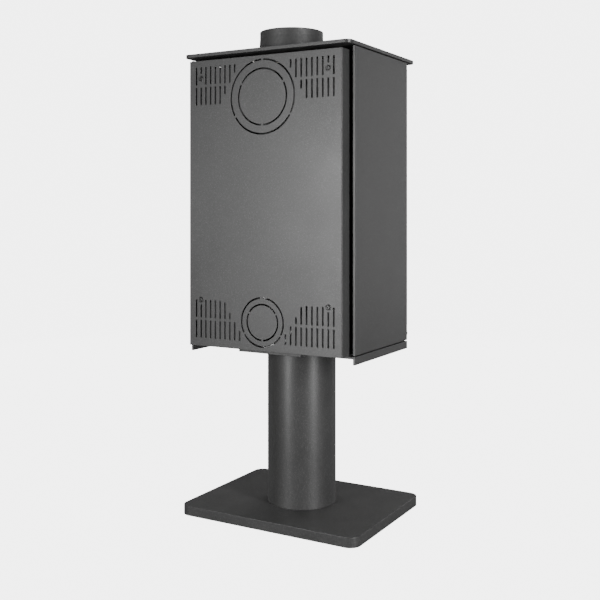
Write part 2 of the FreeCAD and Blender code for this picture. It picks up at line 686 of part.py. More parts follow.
def pedestal_base():
    """Folded steel shell over a ballast plate, on four glide pads."""
    shell = new_body("BaseShell", ("0", "0", "foot_height"))
    plan = sketch_on(shell, "base_plan")
    half_x, half_y = "base_width / 2", "base_depth / 2"
    outline(plan, [(-1, half_x, -1, half_y), (1, half_x, -1, half_y),
                   (1, half_x, 1, half_y), (-1, half_x, 1, half_y)])
    pad(shell, "base_pad", plan, "base_height")
    soften(shell, "base_corners", "base_corner", upright)
    crown = worth("base_height")
    soften(shell, "base_rim", "base_edge",
           lambda e: e.BoundBox.ZMin > crown - TINY)
    holes = sketch_on(shell, "base_bolt_plan", height="base_height")
    for x, y in ((1, 0), (-1, 0), (0, 1), (0, -1)):
        circle(holes, "clear_bolt", (x, "base_bolt_circle"), (y, "base_bolt_circle"))
    pocket(shell, "base_bolt_holes", holes, "base_wall")
    half_x, half_y = "(base_width / 2 - base_wall)", "(base_depth / 2 - base_wall)"
    inside = block("base_hollow", (minus(half_x), half_x), (minus(half_y), half_y),
                   ("foot_height - cut_past", "ballast_top"))
    hollow = rounded("base_hollow_corners", inside, "base_corner - base_wall", upright)
    node(cut("HollowShell", shell, [hollow]), "base_shell")

    side = "(base_width / 2 - base_wall - ballast_gap)"
    depth = "(base_depth / 2 - base_wall - ballast_gap)"
    slab = block("ballast_slab", (minus(side), side), (minus(depth), depth),
                 ("ballast_low", "ballast_top"))
    plate = rounded("ballast_corners", slab, "base_corner", upright)
    drills = [rod(f"ballast_drill_{i}", "clear_bolt", "ballast_thick + 2 * cut_past",
                  (x, y, "ballast_low - cut_past")) for i, (x, y) in enumerate(cross())]
    node(cut("Ballast", plate, drills), "base_ballast")

    pads = []
    for i, (x, y) in enumerate(signs("(base_width / 2 - foot_inset)",
                                     "(base_depth / 2 - foot_inset)")):
        disc = rod(f"pad_disc_{i}", "foot_radius", "foot_pad_thick", (x, y, "0"))
        stem = rod(f"pad_stem_{i}", "foot_stem_radius", "ballast_low", (x, y, "0"))
        pads.append(fuse(f"pad_{i}", [disc, stem]))
    node(group("Pads", pads), "foot_pads")

    length = "ballast_thick + base_wall + foot_plate_thick"
    low = "ballast_low - base_bolt_radius * head_ratio"
    bolts = [bolt(f"base_bolt_{i}", "base_bolt_radius", length, (x, y, low))
             for i, (x, y) in enumerate(cross())]
    node(group("BaseBolts", bolts), "base_bolts")


def cross():
    """The four base bolt places."""
    reach = "base_bolt_circle"
    return [(reach, "0"), (minus(reach), "0"), ("0", reach), ("0", minus(reach))]


def pedestal_column():
    """Round tube with a bolting disc below and a plate on top."""
    tube = new_body("Column", ("0", "0", "base_top"))
    section = sketch_on(tube, "column_section")
    circle(section, "column_radius")
    circle(section, "column_radius - column_wall")
    pad(tube, "column_pad", section, "column_height")
    node(tube, "column")

    disc = new_body("ColumnFootPlate", ("0", "0", "base_top"))
    plan = sketch_on(disc, "foot_plate_plan")
    circle(plan, "column_radius - column_wall - weld_gap")
    for x, y in ((1, 0), (-1, 0), (0, 1), (0, -1)):
        circle(plan, "base_bolt_radius + thread_clearance",
               (x, "base_bolt_circle"), (y, "base_bolt_circle"))
    pad(disc, "foot_plate_pad", plan, "foot_plate_thick")
    node(disc, "column_foot_plate")

    head = new_body("ColumnHeadPlate", ("0", "0", "column_top"))
    plan = sketch_on(head, "head_plate_plan")
    half = "head_plate_width / 2"
    outline(plan, [(-1, half, -1, "body_front"), (1, half, -1, "body_front"),
                   (1, half, 1, "body_back"), (-1, half, 1, "body_back")])
    for x, y in ((1, 1), (-1, 1), (1, -1), (-1, -1)):
        circle(plan, "head_bolt_radius + hole_clearance",
               (x, "head_bolt_x"), (y, "head_bolt_y"))
    pad(head, "head_plate_pad", plan, "head_plate_thick")
    node(head, "column_head_plate")

    low = "column_top - head_bolt_radius * head_ratio"
    bolts = [bolt(f"head_bolt_{i}", "head_bolt_radius", "head_plate_thick + tray_thick",
                  (x, y, low)) for i, (x, y) in enumerate(signs("head_bolt_x", "head_bolt_y"))]
    node(group("HeadBolts", bolts), "head_plate_bolts")


# ---------------------------------------------------------------- casing
def floor_tray():
    """Floor plate with a skirt down each side."""
    depth = ("-body_front", "body_back")
    plate = block("tray_plate", ("-half_body", "half_body"), depth, ("tray_low", "floor_top"))
    skirt = block("tray_skirt", ("half_body - tray_thick", "half_body"), depth,
                  ("floor_top - skirt_depth", "tray_low"))
    whole = fuse("tray_blank", [plate, skirt, mirrored("tray_skirt_left", skirt)])
    drills = [rod(f"tray_drill_{i}", "head_bolt_radius + thread_clearance", "tray_thick + 2 * cut_past",
                  (x, y, "tray_low - cut_past"))
              for i, (x, y) in enumerate(signs("head_bolt_x", "head_bolt_y"))]
    node(cut("Tray", whole, drills), "body_floor_tray")


def side_panels():
    """Flat plate each side of the body, softened along its edges."""
    panel = new_body("SidePanel", ("half_body", "0", "panel_low"))
    plan = sketch_on(panel, "panel_plan")
    outline(plan, [(-1, "panel_thick", -1, "body_front"), (0, "0", -1, "body_front"),
                   (0, "0", 1, "body_back"), (-1, "panel_thick", 1, "body_back")])
    pad(panel, "panel_pad", plan, "panel_height")
    soften(panel, "panel_edges", "panel_edge", lambda e: abs(e.CenterOfMass.x) < TINY)
    node(panel, "side_panel_right")
    node(mirrored("SidePanelLeft", panel), "side_panel_left")

    length = "panel_inside - firebox_width / 2"
    posts = []
    for y in ("spacer_y", "-spacer_y"):
        for z in ("panel_low + spacer_inset", "panel_top - spacer_inset"):
            posts.append(rod(f"side_post_{len(posts)}", "spacer_radius", length,
                             ("firebox_width / 2", y, z), "x"))
    right = group("RightPosts", posts)
    node(group("SidePosts", [right, mirrored("LeftPosts", right)]), "side_panel_spacers")


def top_plate():
    """Loose-edged plate with the collar's hole, on four spacers."""
    plate = new_body("TopPlate", ("0", "0", "plate_low"))
    plan = sketch_on(plate, "top_plan")
    half = "top_width / 2"
    outline(plan, [(-1, half, -1, "top_front"), (1, half, -1, "top_front"),
                   (1, half, 1, "top_rear"), (-1, half, 1, "top_rear")])
    pad(plate, "top_pad", plan, "top_thick")
    soften(plate, "top_corners", "top_corner", upright)
    soften(plate, "top_rims", "panel_edge", lambda e: span(e, "z") < TINY)
    hole = sketch_on(plate, "collar_hole_plan", height="top_thick")
    circle(hole, "collar_root + collar_clearance", (0, "0"), (1, "flue_y"))
    pocket(plate, "collar_hole", hole, "top_thick")
    node(plate, "top_plate")
    posts = [rod(f"top_post_{i}", "spacer_radius", "firebox_drop", (x, y, "box_top"))
             for i, (x, y) in enumerate(signs("(firebox_width / 2 - spacer_side)", "spacer_y"))]
    node(group("TopPosts", posts), "top_plate_spacers")


UPPER_ROWS = (
    ("slot_length", "screw_slot_top") + ("slot_length",) * 6 + ("short_slot_top",),
    ("slot_length",) * 6 + ("short_slot_mid",),
)
LOWER_ROWS = (
    ("slot_length", "screw_slot_low") + ("slot_length",) * 4
    + ("seventh_slot_low", "short_slot_low"),
    ("slot_length",) * 9 + ("end_slot_low",),
)


def slots():
    """Cutters of one side's slots, two rows above and two below."""
    through = past("cover_inside", "cover_face")
    row_step = "(slot_length + slot_bridge)"
    made = []
    for group_index, rows in enumerate((UPPER_ROWS, LOWER_ROWS)):
        for row, lengths in enumerate(rows):
            for column, length in enumerate(lengths):
                x = f"slot_first_x - slot_pitch * {column}"
                wide = (f"{x} - slot_width / 2", f"{x} + slot_width / 2")
                if group_index == 0:
                    high = f"(cover_top - slot_top_margin - {row_step} * {row})"
                    tall = (f"{high} - {length}", high)
                else:
                    low = f"(cover_low + slot_low_margin + {row_step} * {1 - row})"
                    tall = (low, f"{low} + {length}")
                name = f"slot_{group_index}_{row}_{column}"
                made.append(block(name, wide, through, tall))
    return made


def knock_out(name, radius, centre_z, first_bridge):
    """Cutter of one perforated ring: a thin tube with three bridges."""
    start = ("0", "cover_inside - cut_past", centre_z)
    length = "cover_sheet + 2 * cut_past"
    outer = rod(name + "_outer", f"{radius} + ring_width / 2", length, start, "y")
    inner = rod(name + "_inner", f"{radius} - ring_width / 2", length, start, "y")
    bridges = []
    for turn in range(3):
        angle = first_bridge + 120 * turn
        bar = doc.addObject("Part::Box", f"{name}_bridge_{turn}")
        bar.Placement = Placement(Vector(), Rotation(Vector(0, 1, 0), -angle))
        bind(bar, "Length", f"{radius} + ring_width")
        bind(bar, "Width", length)
        bind(bar, "Height", "ring_bridge")
        put(bar, (f"ring_bridge / 2 * sin({angle} deg)", "cover_inside - cut_past",
                  f"{centre_z} - ring_bridge / 2 * cos({angle} deg)"))
        bridges.append(bar)
    return cut(name, outer, [inner] + bridges)


def back_cover():
    """Folded cover with slots and two pairs of perforated rings."""
    cover = new_body("BackCover", ("0", "cover_face", "cover_low"))
    plan = sketch_on(cover, "cover_plan")
    half = "cover_width / 2"
    inside = "(cover_width / 2 - cover_sheet)"
    outline(plan, [(-1, half, 0, "0"), (-1, half, -1, "cover_flange"),
                   (-1, inside, -1, "cover_flange"), (-1, inside, -1, "cover_sheet"),
                   (1, inside, -1, "cover_sheet"), (1, inside, -1, "cover_flange"),
                   (1, half, -1, "cover_flange"), (1, half, 0, "0")])
    pad(cover, "cover_pad", plan, "cover_height")
    sheet_edge = worth("cover_sheet") + TINY
    soften(cover, "cover_outer_bends", "cover_bend",
           lambda e: upright(e) and abs(e.CenterOfMass.y) < TINY)
    soften(cover, "cover_inner_bends", "cover_bend - cover_sheet",
           lambda e: upright(e) and TINY < -e.CenterOfMass.y < sheet_edge)
    right = group("SlotCutters", slots())
    tools = [right, mirrored("SlotCuttersLeft", right)]
    tools.append(knock_out("flue_ring_outer", "flue_knock_outer", "flue_knock_z", 90))
    tools.append(knock_out("flue_ring_inner", "flue_knock_inner", "flue_knock_z", 30))
    tools.append(knock_out("air_ring_outer", "air_knock_outer", "air_knock_z", 90))
    tools.append(knock_out("air_ring_inner", "air_knock_inner", "air_knock_z", 30))
    heads, posts = [], []
    for i, (x, z) in enumerate((x, z) for x in ("screw_x", "-screw_x")
                               for z in ("screw_low", "screw_high")):
        tools.append(rod(f"cover_drill_{i}", "cover_screw_radius + hole_clearance",
                         "cover_sheet + 2 * cut_past", (x, "cover_inside - cut_past", z), "y"))
        shank = rod(f"screw_shank_{i}", "cover_screw_radius", "cover_sheet + cover_screw_depth",
                    (x, "cover_inside - cover_screw_depth", z), "y")
        head = rod(f"screw_head_{i}", "cover_screw_head", "cover_screw_rise",
                   (x, "cover_face", z), "y")
        top = worth("cover_face + cover_screw_rise")
        domed = rounded(f"screw_dome_{i}", head, "screw_dome",
                        lambda e: e.BoundBox.YMin > top - TINY)
        socket = hexagon(f"screw_socket_{i}", "screw_socket", "screw_socket_depth + cut_past",
                         (x, "cover_face + cover_screw_rise - screw_socket_depth", z), "y")
        heads.append(fuse(f"screw_{i}", [cut(f"screw_cap_{i}", domed, [socket]), shank]))
        tube = rod(f"standoff_tube_{i}", "standoff_radius", "cover_inside - firebox_back",
                   (x, "firebox_back", z), "y")
        tap = rod(f"standoff_tap_{i}", "cover_screw_radius + thread_clearance",
                  "cover_screw_depth + 2 * cut_past",
                  (x, "cover_inside - cover_screw_depth - cut_past", z), "y")
        posts.append(cut(f"standoff_{i}", tube, [tap]))
    node(cut("CutCover", cover, tools), "back_cover")
    node(group("CoverScrews", heads), "back_cover_screws")
    node(group("Standoffs", posts), "cover_standoffs")


# ---------------------------------------------------------------- firebox
def four_around(reach, x="0", y="0"):
    """Four places on the diagonals of a circle."""
    arm = f"({reach}) * sin(45 deg)"
    return [(f"{x} + {a} * {arm}", f"{y} + {b} * {arm}")
            for a, b in ((1, 1), (-1, 1), (-1, -1), (1, -1))]


def firebox():
    """Welded shell, open in front, with the flue, rear outlet and air inlet holes."""
    shell = block("firebox_outer", ("-firebox_width / 2", "firebox_width / 2"),
                  ("frame_rear", "firebox_back"), ("box_low", "box_top"))
    hollow = block("firebox_hollow", ("-box_side", "box_side"),
                   ("frame_rear - cut_past", "box_rear"),
                   ("box_low + firebox_wall", "box_top - firebox_wall"))
    deep = "firebox_wall + 2 * cut_past"
    tools = [hollow, rod("flue_hole", "flue_opening", deep,
                         ("0", "flue_y", "box_top - firebox_wall - cut_past"))]
    tools.append(rod("outlet_hole", "outlet_opening", deep,
                     ("0", "box_rear - cut_past", "flue_knock_z"), "y"))
    tools.append(rod("inlet_hole", "spigot_radius - spigot_wall", deep,
                     ("0", "box_rear - cut_past", "air_knock_z"), "y"))
    for i, (x, y) in enumerate(four_around("collar_bolt_circle", "0", "flue_y")):
        tools.append(rod(f"flue_tap_{i}", "head_bolt_radius + thread_clearance", deep,
                         (x, y, "box_top - firebox_wall - cut_past")))
    for i, (x, z) in enumerate(four_around("outlet_bolt_circle", "0", "flue_knock_z")):
        tools.append(rod(f"outlet_tap_{i}", "cover_screw_radius + thread_clearance", deep,
                         (x, "box_rear - cut_past", z), "y"))
    node(cut("Firebox", shell, tools), "firebox_shell")
    feet = [block(f"firebox_foot_{i}", around_place(x, "firebox_foot"),
                  around_place(y, "firebox_foot"),
                  ("floor_top", "box_low"))
            for i, (x, y) in enumerate(signs("(firebox_width / 2 - spacer_side)", "spacer_y"))]
    node(group("FireboxFeet", feet), "firebox_feet")


def flue_collar():
    """Cast collar: foot flange, tapered neck and a straight land for the pipe."""
    collar = new_body("FlueCollar", ("0", "flue_y", "box_top + gasket_thick"))
    rise = "(plate_top - box_top - gasket_thick)"
    full = f"({rise} + collar_rise)"
    section = sketch_on(collar, "collar_section", "XZ_Plane")
    outline(section, [(1, "flue_opening", 0, "0"), (1, "collar_flange", 0, "0"),
                      (1, "collar_flange", 1, "collar_flange_thick"),
                      (1, "collar_root", 1, "collar_flange_thick"),
                      (1, "collar_root", 1, rise),
                      (1, "collar_radius", 1, f"{full} - collar_land"),
                      (1, "collar_radius", 1, full), (1, "flue_opening", 1, full)])
    revolve(collar, "collar_turn", section)
    crown = worth(full)
    soften(collar, "collar_lip", "panel_edge", lambda e: e.BoundBox.ZMin > crown - TINY)
    drill = sketch_on(collar, "collar_drill_plan", height="collar_flange_thick")
    arm = "collar_bolt_circle * sin(45 deg)"
    circle(drill, "head_bolt_radius + hole_clearance", (1, arm), (1, arm))
    hole = pocket(collar, "collar_drill", drill, "collar_flange_thick")
    around(collar, "collar_drills", hole, 4)
    node(collar, "flue_collar")

    places = four_around("collar_bolt_circle", "0", "flue_y")
    flat = rod("gasket_disc", "collar_flange - gasket_inset", "gasket_thick", ("0", "flue_y", "box_top"))
    tools = [rod("gasket_way", "flue_opening + gasket_inset", "gasket_thick + 2 * cut_past",
                 ("0", "flue_y", "box_top - cut_past"))]
    tools += [rod(f"gasket_hole_{i}", "head_bolt_radius + hole_clearance", "gasket_thick + 2 * cut_past",
                  (x, y, "box_top - cut_past")) for i, (x, y) in enumerate(places)]
    gasket = cut("CollarGasket", flat, tools)
    low = "box_top - firebox_wall"
    length = "firebox_wall + gasket_thick + collar_flange_thick"
    bolts = [bolt(f"collar_bolt_{i}", "head_bolt_radius", length, (x, y, low), "z", False)
             for i, (x, y) in enumerate(places)]
    node(group("CollarBolts", bolts), "collar_bolts")
    return gasket


def rear_outlet(collar_gasket):
    """Blanking plate and gasket over the spare flue outlet behind the cover."""
    made = []
    places = four_around("outlet_bolt_circle", "0", "flue_knock_z")
    for label, low, thick, radius, way in (
            ("outlet_gasket", "firebox_back", "gasket_thick",
             "outlet_plate_radius - gasket_inset", "outlet_opening + gasket_inset"),
            ("outlet_plate", "(firebox_back + gasket_thick)", "outlet_plate_thick",
             "outlet_plate_radius", None)):
        disc = rod(label + "_disc", radius, thick, ("0", low, "flue_knock_z"), "y")
        tools = [rod(f"{label}_hole_{i}", "cover_screw_radius + hole_clearance",
                     f"{thick} + 2 * cut_past", (x, f"{low} - cut_past", z), "y")
                 for i, (x, z) in enumerate(places)]
        if way:
            tools.append(rod(label + "_way", way, f"{thick} + 2 * cut_past",
                             ("0", f"{low} - cut_past", "flue_knock_z"), "y"))
        made.append(cut(label, disc, tools))
    node(group("FlueGaskets", [collar_gasket, made[0]]), "flue_gaskets")
    node(made[1], "rear_outlet_plate")
    length = "firebox_wall + gasket_thick + outlet_plate_thick"
    bolts = [bolt(f"outlet_bolt_{i}", "cover_screw_radius", length,
                  (x, "box_rear", z), "y", False) for i, (x, z) in enumerate(places)]
    node(group("OutletBolts", bolts), "rear_outlet_bolts")


def air_spigot():
    """Flanged tube for an outside air duct, behind the lower knock-out."""
    start = ("0", "firebox_back", "air_knock_z")
    tube = rod("spigot_tube", "spigot_radius", "cover_inside - spigot_gap - firebox_back",
               start, "y")
    flange = rod("spigot_collar", "spigot_flange", "spigot_wall", start, "y")
    way = rod("spigot_way", "spigot_radius - spigot_wall", "cover_inside - firebox_back",
              ("0", "firebox_back - cut_past", "air_knock_z"), "y")
    node(cut("Spigot", fuse("spigot_blank", [tube, flange]), [way]), "air_inlet_spigot")


def hearth():
    """Hearth plate, floor and wall bricks, grate, log retainer and baffles."""
    across = ("-box_side", "box_side")
    plate = block("hearth_sheet", across, ("frame_rear", "box_rear"),
                  ("shelf_top - firebox_wall", "shelf_top"))
    mouth = block("hearth_mouth", ("-grate_width / 2 + grate_ledge", "grate_width / 2 - grate_ledge"),
                  ("grate_front + grate_ledge", "grate_back - grate_ledge"),
                  past("shelf_top - firebox_wall", "shelf_top"))
    node(cut("HearthPlate", plate, [mouth]), "hearth_plate")

    upright_z = ("shelf_top", "baffle_low")
    side = block("brick_side_right", ("brick_side", "box_side"), ("brick_front", "box_rear"), upright_z)
    node(group("SideBricks", [side, mirrored("brick_side_left", side)]), "fire_bricks_side")
    back = block("brick_back", ("-brick_side", "brick_side"), ("brick_rear", "box_rear"), upright_z)
    jets = [rod(f"jet_{i}", "jet_radius", "lining_thick + 2 * cut_past",
                (f"jet_pitch * {i}", "brick_rear - cut_past", "shelf_top + jet_rise"), "y")
            for i in range(-3, 4)]
    node(cut("BrickBack", back, jets), "fire_brick_back")

    flat_z = ("shelf_top", "hearth_top")
    edge = "(grate_width / 2 + grate_gap)"
    west = block("floor_brick_side", (edge, "brick_side"), ("brick_front", "brick_rear"), flat_z)
    front = block("floor_brick_front", (minus(edge), edge),
                  ("brick_front", "grate_front - grate_gap"), flat_z)
    rear = block("floor_brick_rear", (minus(edge), edge),
                 ("grate_back + grate_gap", "brick_rear"), flat_z)
    bricks = [west, mirrored("floor_brick_other", west), front, rear]
    node(group("FloorBricks", bricks), "hearth_bricks")

    slab = block("grate_slab", ("-grate_width / 2", "grate_width / 2"),
                 ("grate_front", "grate_back"),
                 ("shelf_top", "shelf_top + grate_thick"))
    bars = rounded("grate_corners", slab, "grate_gap", upright)
    slits = [block(f"grate_slit_{i}", (f"grate_pitch * {i} - grate_slit / 2",
                                       f"grate_pitch * {i} + grate_slit / 2"),
                   ("grate_front + grate_rim", "grate_back - grate_rim"),
                   past("shelf_top", "shelf_top + grate_thick")) for i in range(-4, 5)]
    node(cut("Grate", bars, slits), "grate")

    bar = block("retainer_bar", ("-opening_width / 2 + retainer_gap", "opening_width / 2 - retainer_gap"),
                ("brick_front", "brick_front + retainer_thick"),
                ("hearth_top", "hearth_top + retainer_height"))
    windows = [block(f"retainer_window_{i}", (f"retainer_pitch * {i} - retainer_window / 2",
                                              f"retainer_pitch * {i} + retainer_window / 2"),
                     past("brick_front", "brick_front + retainer_thick"),
                     ("hearth_top + retainer_rim", "hearth_top + retainer_height - retainer_rim"))
               for i in range(-2, 3)]
    node(cut("Retainer", bar, windows), "log_retainer")

    node(block("LowerBaffle", ("-box_side + baffle_gap", "box_side - baffle_gap"),
               ("frame_rear + baffle_mouth", "box_rear"),
               ("baffle_low", "baffle_low + baffle_thick")), "baffle_lower")
    upper = "(box_top - upper_baffle_drop)"
    node(block("UpperBaffle", ("-box_side + baffle_gap", "box_side - baffle_gap"),
               ("rail_start", "box_rear - baffle_mouth"),
               (upper, f"{upper} + upper_baffle_thick")), "baffle_upper")
    rail = block("baffle_rail", ("box_side - baffle_rail_width", "box_side"),
                 ("rail_start", "box_rear - baffle_mouth"), (f"{upper} - baffle_rail_height", upper))
    node(group("BaffleRails", [rail, mirrored("baffle_rail_left", rail)]), "baffle_rails")


def ash_pan():
    """Folded pan with a finger tab, sliding on two rails."""
    half = "pan_width / 2"
    depth = ("pan_front", "pan_back")
    tray = block("pan_outer", (minus(half), half), depth, ("pan_low", "pan_low + pan_height"))
    tab = block("pan_tab", ("-tab_width / 2", "tab_width / 2"), ("pan_front - tab_reach", "pan_front"),
                ("pan_low + pan_height - tab_thick", "pan_low + pan_height"))
    inner = block("pan_inner", (f"-{half} + pan_sheet", f"{half} - pan_sheet"),
                  ("pan_front + pan_sheet", "pan_back - pan_sheet"),
                  ("pan_low + pan_sheet", "pan_low + pan_height + cut_past"))
    node(cut("AshPan", fuse("pan_blank", [tray, tab]), [inner]), "ash_pan")
    rail = block("pan_rail", ("box_side - rail_width", "box_side"),
                 ("rail_start", "pan_back"),
                 ("pan_rail_top - rail_thick", "pan_rail_top"))
    node(group("PanRails", [rail, mirrored("pan_rail_left", rail)]), "ash_pan_rails")


# ---------------------------------------------------------------- front


def front_frame():
    """Plate with the firebox opening and the air ports below it."""
    plate = block("front_plate", ("-frame_half", "frame_half"), ("-frame_face", "frame_rear"),
                  ("panel_low", "panel_top"))
    through = past("-frame_face", "frame_rear")
    tools = [block("fire_opening", ("-opening_width / 2", "opening_width / 2"), through,
                   ("opening_sill", "opening_head"))]
    tools += ports("frame_port", through, "0")
    node(cut("FrontFrame", plate, tools), "front_frame")

    angle = block("deflector_plate", ("-opening_width / 2", "opening_width / 2"),
                  ("frame_rear", "frame_rear + deflector_depth"),
                  ("opening_head", "opening_head + deflector_sheet"))
    lip = block("deflector_lip", ("-opening_width / 2", "opening_width / 2"),
                ("frame_rear + deflector_depth - deflector_sheet", "frame_rear + deflector_depth"),
                ("opening_head - deflector_drop", "opening_head"))
    node(fuse("Deflector", [angle, lip]), "airwash_deflector")


def ports(name, through, shift):
    """Cutters of the four air ports, moved along X."""
    made = []
    for i in range(4):
        x = f"({(2 * i - 3) / 2} * air_port_pitch + {shift})"
        made.append(block(f"{name}_{i}", (f"{x} - air_port_width / 2", f"{x} + air_port_width / 2"),
                          through, ("knob_z - air_port_height / 2",
                                    "knob_z + air_port_height / 2")))
    return made


bracket_x = ("-frame_half", "bracket_in")


def hinges():
    """Two angle brackets, each holding a pin that enters the door's edge."""
    brackets = []
    reach = ("pivot_y - pin_radius - bracket_rim", "-frame_face")
    leg_y = ("-frame_face - bracket_thick", "-frame_face")
    hole = "pin_radius + pin_clearance"
    for label, flat, leg in (
            ("bracket_lower", ("bracket_low", "bracket_top"),
             ("bracket_top", "bracket_top + bracket_leg")),
            ("bracket_upper", ("upper_bracket_low", "upper_bracket_top"),
             ("upper_bracket_low - bracket_leg", "upper_bracket_low"))):
        arm = block(label + "_arm", bracket_x, reach, flat)
        foot = block(label + "_leg", bracket_x, leg_y, leg)
        drill = rod(label + "_drill", hole, "bracket_thick + 2 * cut_past",
                    ("pivot_x", "pivot_y", f"{flat[0]} - cut_past"))
        brackets.append(cut(label, fuse(label + "_blank", [arm, foot]), [drill]))
    node(group("HingeBrackets", brackets), "hinge_brackets")
    length = "bracket_thick + bracket_gap + pin_depth"
    low = rod("pin_low", "pin_radius", length, ("pivot_x", "pivot_y", "bracket_low"))
    high = rod("pin_high", "pin_radius", length,
               ("pivot_x", "pivot_y", f"upper_bracket_top - ({length})"))
    node(group("HingePins", [low, high]), "hinge_pins")
    disc = rod("washer_disc", "pin_radius + washer_rim", "bracket_gap - washer_clearance",
               ("pivot_x", "pivot_y", "bracket_top"))
    way = rod("washer_way", "pin_radius + washer_clearance", "bracket_gap + 2 * cut_past",
              ("pivot_x", "pivot_y", "bracket_top - cut_past"))
    node(cut("HingeWasher", disc, [way]), "hinge_washer")


def keeper():
    """Bridge on the front frame whose lip the latch cam turns behind."""
    wide = ("handle_x + cam_width / 2 + keeper_gap", "frame_half")
    low, high = "handle_z - keeper_half", "handle_z + keeper_half"
    lip = block("keeper_lip", wide, ("lip_front", "lip_front + lip_thick"), (low, high))
    legs = [block("keeper_leg_low", wide, ("lip_front + lip_thick", "-frame_face"),
                  (low, f"{low} + keeper_leg")),
            block("keeper_leg_high", wide, ("lip_front + lip_thick", "-frame_face"),
                  (f"{high} - keeper_leg", high))]
    node(fuse("Keeper", [lip] + legs), "latch_keeper")


def lower_front():
    """Panel under the door with the air control's slot, and the shutter's rails."""
    top = "(door_sill - lower_panel_gap)"
    face = block("apron_face", ("-frame_half", "frame_half"),
                 ("-body_front", "-body_front + lower_panel_sheet"), ("panel_low", top))
    end = block("apron_end", ("frame_half - lower_panel_sheet", "frame_half"),
                ("-body_front + lower_panel_sheet", "-frame_face"),
                ("panel_low", "bracket_low - notch_clearance"))
    blank = fuse("apron_blank", [face, end, mirrored("apron_end_left", end)])
    notch = block("apron_notch", ("-frame_half - cut_past", "bracket_in + notch_clearance"),
                  past("-body_front", "-body_front + lower_panel_sheet"),
                  ("bracket_low - notch_clearance", f"{top} + cut_past"))
    reach = "(air_rod_radius + air_rod_clearance)"
    way = block("apron_way", (f"-air_knob_x - {reach}", f"-air_knob_x + air_travel + {reach}"),
                past("-body_front", "-body_front + lower_panel_sheet"),
                (f"knob_z - {reach}", f"knob_z + {reach}"))
    node(cut("Apron", blank, [notch, way]), "lower_front_panel")

    wide = ("-frame_half + lower_panel_sheet + shutter_rail_gap",
            "frame_half - lower_panel_sheet - shutter_rail_gap")
    web_low = "(shutter_top + slide_clearance)"
    web_top = "(shutter_low - slide_clearance)"
    lip = ("rail_front", "shutter_front - slide_clearance")
    upper = fuse("rail_upper", [
        block("rail_upper_web", wide, ("rail_front", "-frame_face"),
              (web_low, f"{web_low} + shutter_rail")),
        block("rail_upper_lip", wide, lip, (f"{web_low} - shutter_lap", web_low))])
    lower = fuse("rail_lower", [
        block("rail_lower_web", wide, ("rail_front", "-frame_face"), ("floor_top", web_top)),
        block("rail_lower_lip", wide, lip, (web_top, f"{web_top} + shutter_lap"))])
    node(group("ShutterRails", [upper, lower]), "air_shutter_rails")


# ---------------------------------------------------------------- door
def door():
    """Cast frame with glass, gaskets, seal channel and glass clips."""
    slab = block("door_slab", ("-door_side", "door_side"), ("door_face", "door_rear"),
                 ("door_sill", "door_head"))
    eased = rounded("door_edges", slab, "door_corner", upright)
    opening = block("door_window", ("-window_width / 2", "window_width / 2"),
                    past("door_face", "door_rear"), ("window_low", "window_top"))
    holed = cut("door_pierced", eased, [opening])
    front, side = worth("door_face"), worth("window_width / 2")
    low, high = worth("window_low"), worth("window_top")
    framed = rounded("door_bevel", holed, "window_bevel", lambda e: (
        abs(e.CenterOfMass.y - front) < TINY and abs(e.CenterOfMass.x) < side + TINY
        and low - TINY < e.CenterOfMass.z < high + TINY), "Part::Chamfer")
    pin_hole = "pin_radius + pin_clearance"
    depth = "pin_depth + pin_end_gap"
    tools = [rod("pin_hole_low", pin_hole, f"{depth} + cut_past",
                 ("pivot_x", "pivot_y", "door_sill - cut_past")),
             rod("pin_hole_high", pin_hole, f"{depth} + cut_past",
                 ("pivot_x", "pivot_y", f"door_head - ({depth})")),
             rod("shaft_hole", "shaft_radius + shaft_clearance", "door_thick + 2 * cut_past",
                 ("handle_x", "door_face - cut_past", "handle_z"), "y")]
    node(cut("DoorFrame", framed, tools), "door_frame")

    side = "(window_width / 2 + glass_lap)"
    low, high = "(window_low - glass_lap)", "(window_top + glass_lap)"
    glass_y = ("(door_rear + tape_thick)", "(door_rear + tape_thick + glass_thick)")
    pane = block("glass_pane", (minus(side), side), glass_y, (low, high))
    node(rounded("Glass", pane, "glass_thick", lambda e: span(e, "y") > 1), "door_glass")
    node(ring_frame("GlassTape", side, f"({side} - glass_lap + tape_inset)", low,
                    f"{low} + glass_lap - tape_inset",
                    f"{high} - glass_lap + tape_inset", high,
                    ("door_rear", glass_y[0])), "glass_gasket")

    back = "(door_rear + channel_depth)"
    blank = ring_frame("channel_blank", "channel_out", "channel_in",
                       "seal_low - channel_half", "seal_low + channel_half",
                       "seal_top - channel_half", "seal_top + channel_half",
                       ("door_rear", back))
    groove = ring_frame("channel_groove", "rope_out", "rope_in",
                        "seal_low - seal_width / 2", "seal_low + seal_width / 2",
                        "seal_top - seal_width / 2", "seal_top + seal_width / 2",
                        ("door_rear + channel_wall", f"{back} + cut_past"))
    node(cut("SealChannel", blank, [groove]), "door_seal_channel")
    node(ring_frame("Seal", "rope_out", "rope_in",
                    "seal_low - seal_width / 2", "seal_low + seal_width / 2",
                    "seal_top - seal_width / 2", "seal_top + seal_width / 2",
                    ("door_rear + channel_wall", "-frame_face - seal_clearance")),
         "door_seal")
    glass_clips(side, low, high, glass_y[1])

    ring = rod("rosette_disc", "rosette_radius", "rosette_thick",
               ("handle_x", "door_face - rosette_thick", "handle_z"), "y")
    way = rod("rosette_way", "shaft_radius + shaft_clearance", "rosette_thick + 2 * cut_past",
              ("handle_x", "door_face - rosette_thick - cut_past", "handle_z"), "y")
    node(cut("Rosette", ring, [way]), "handle_rosette")


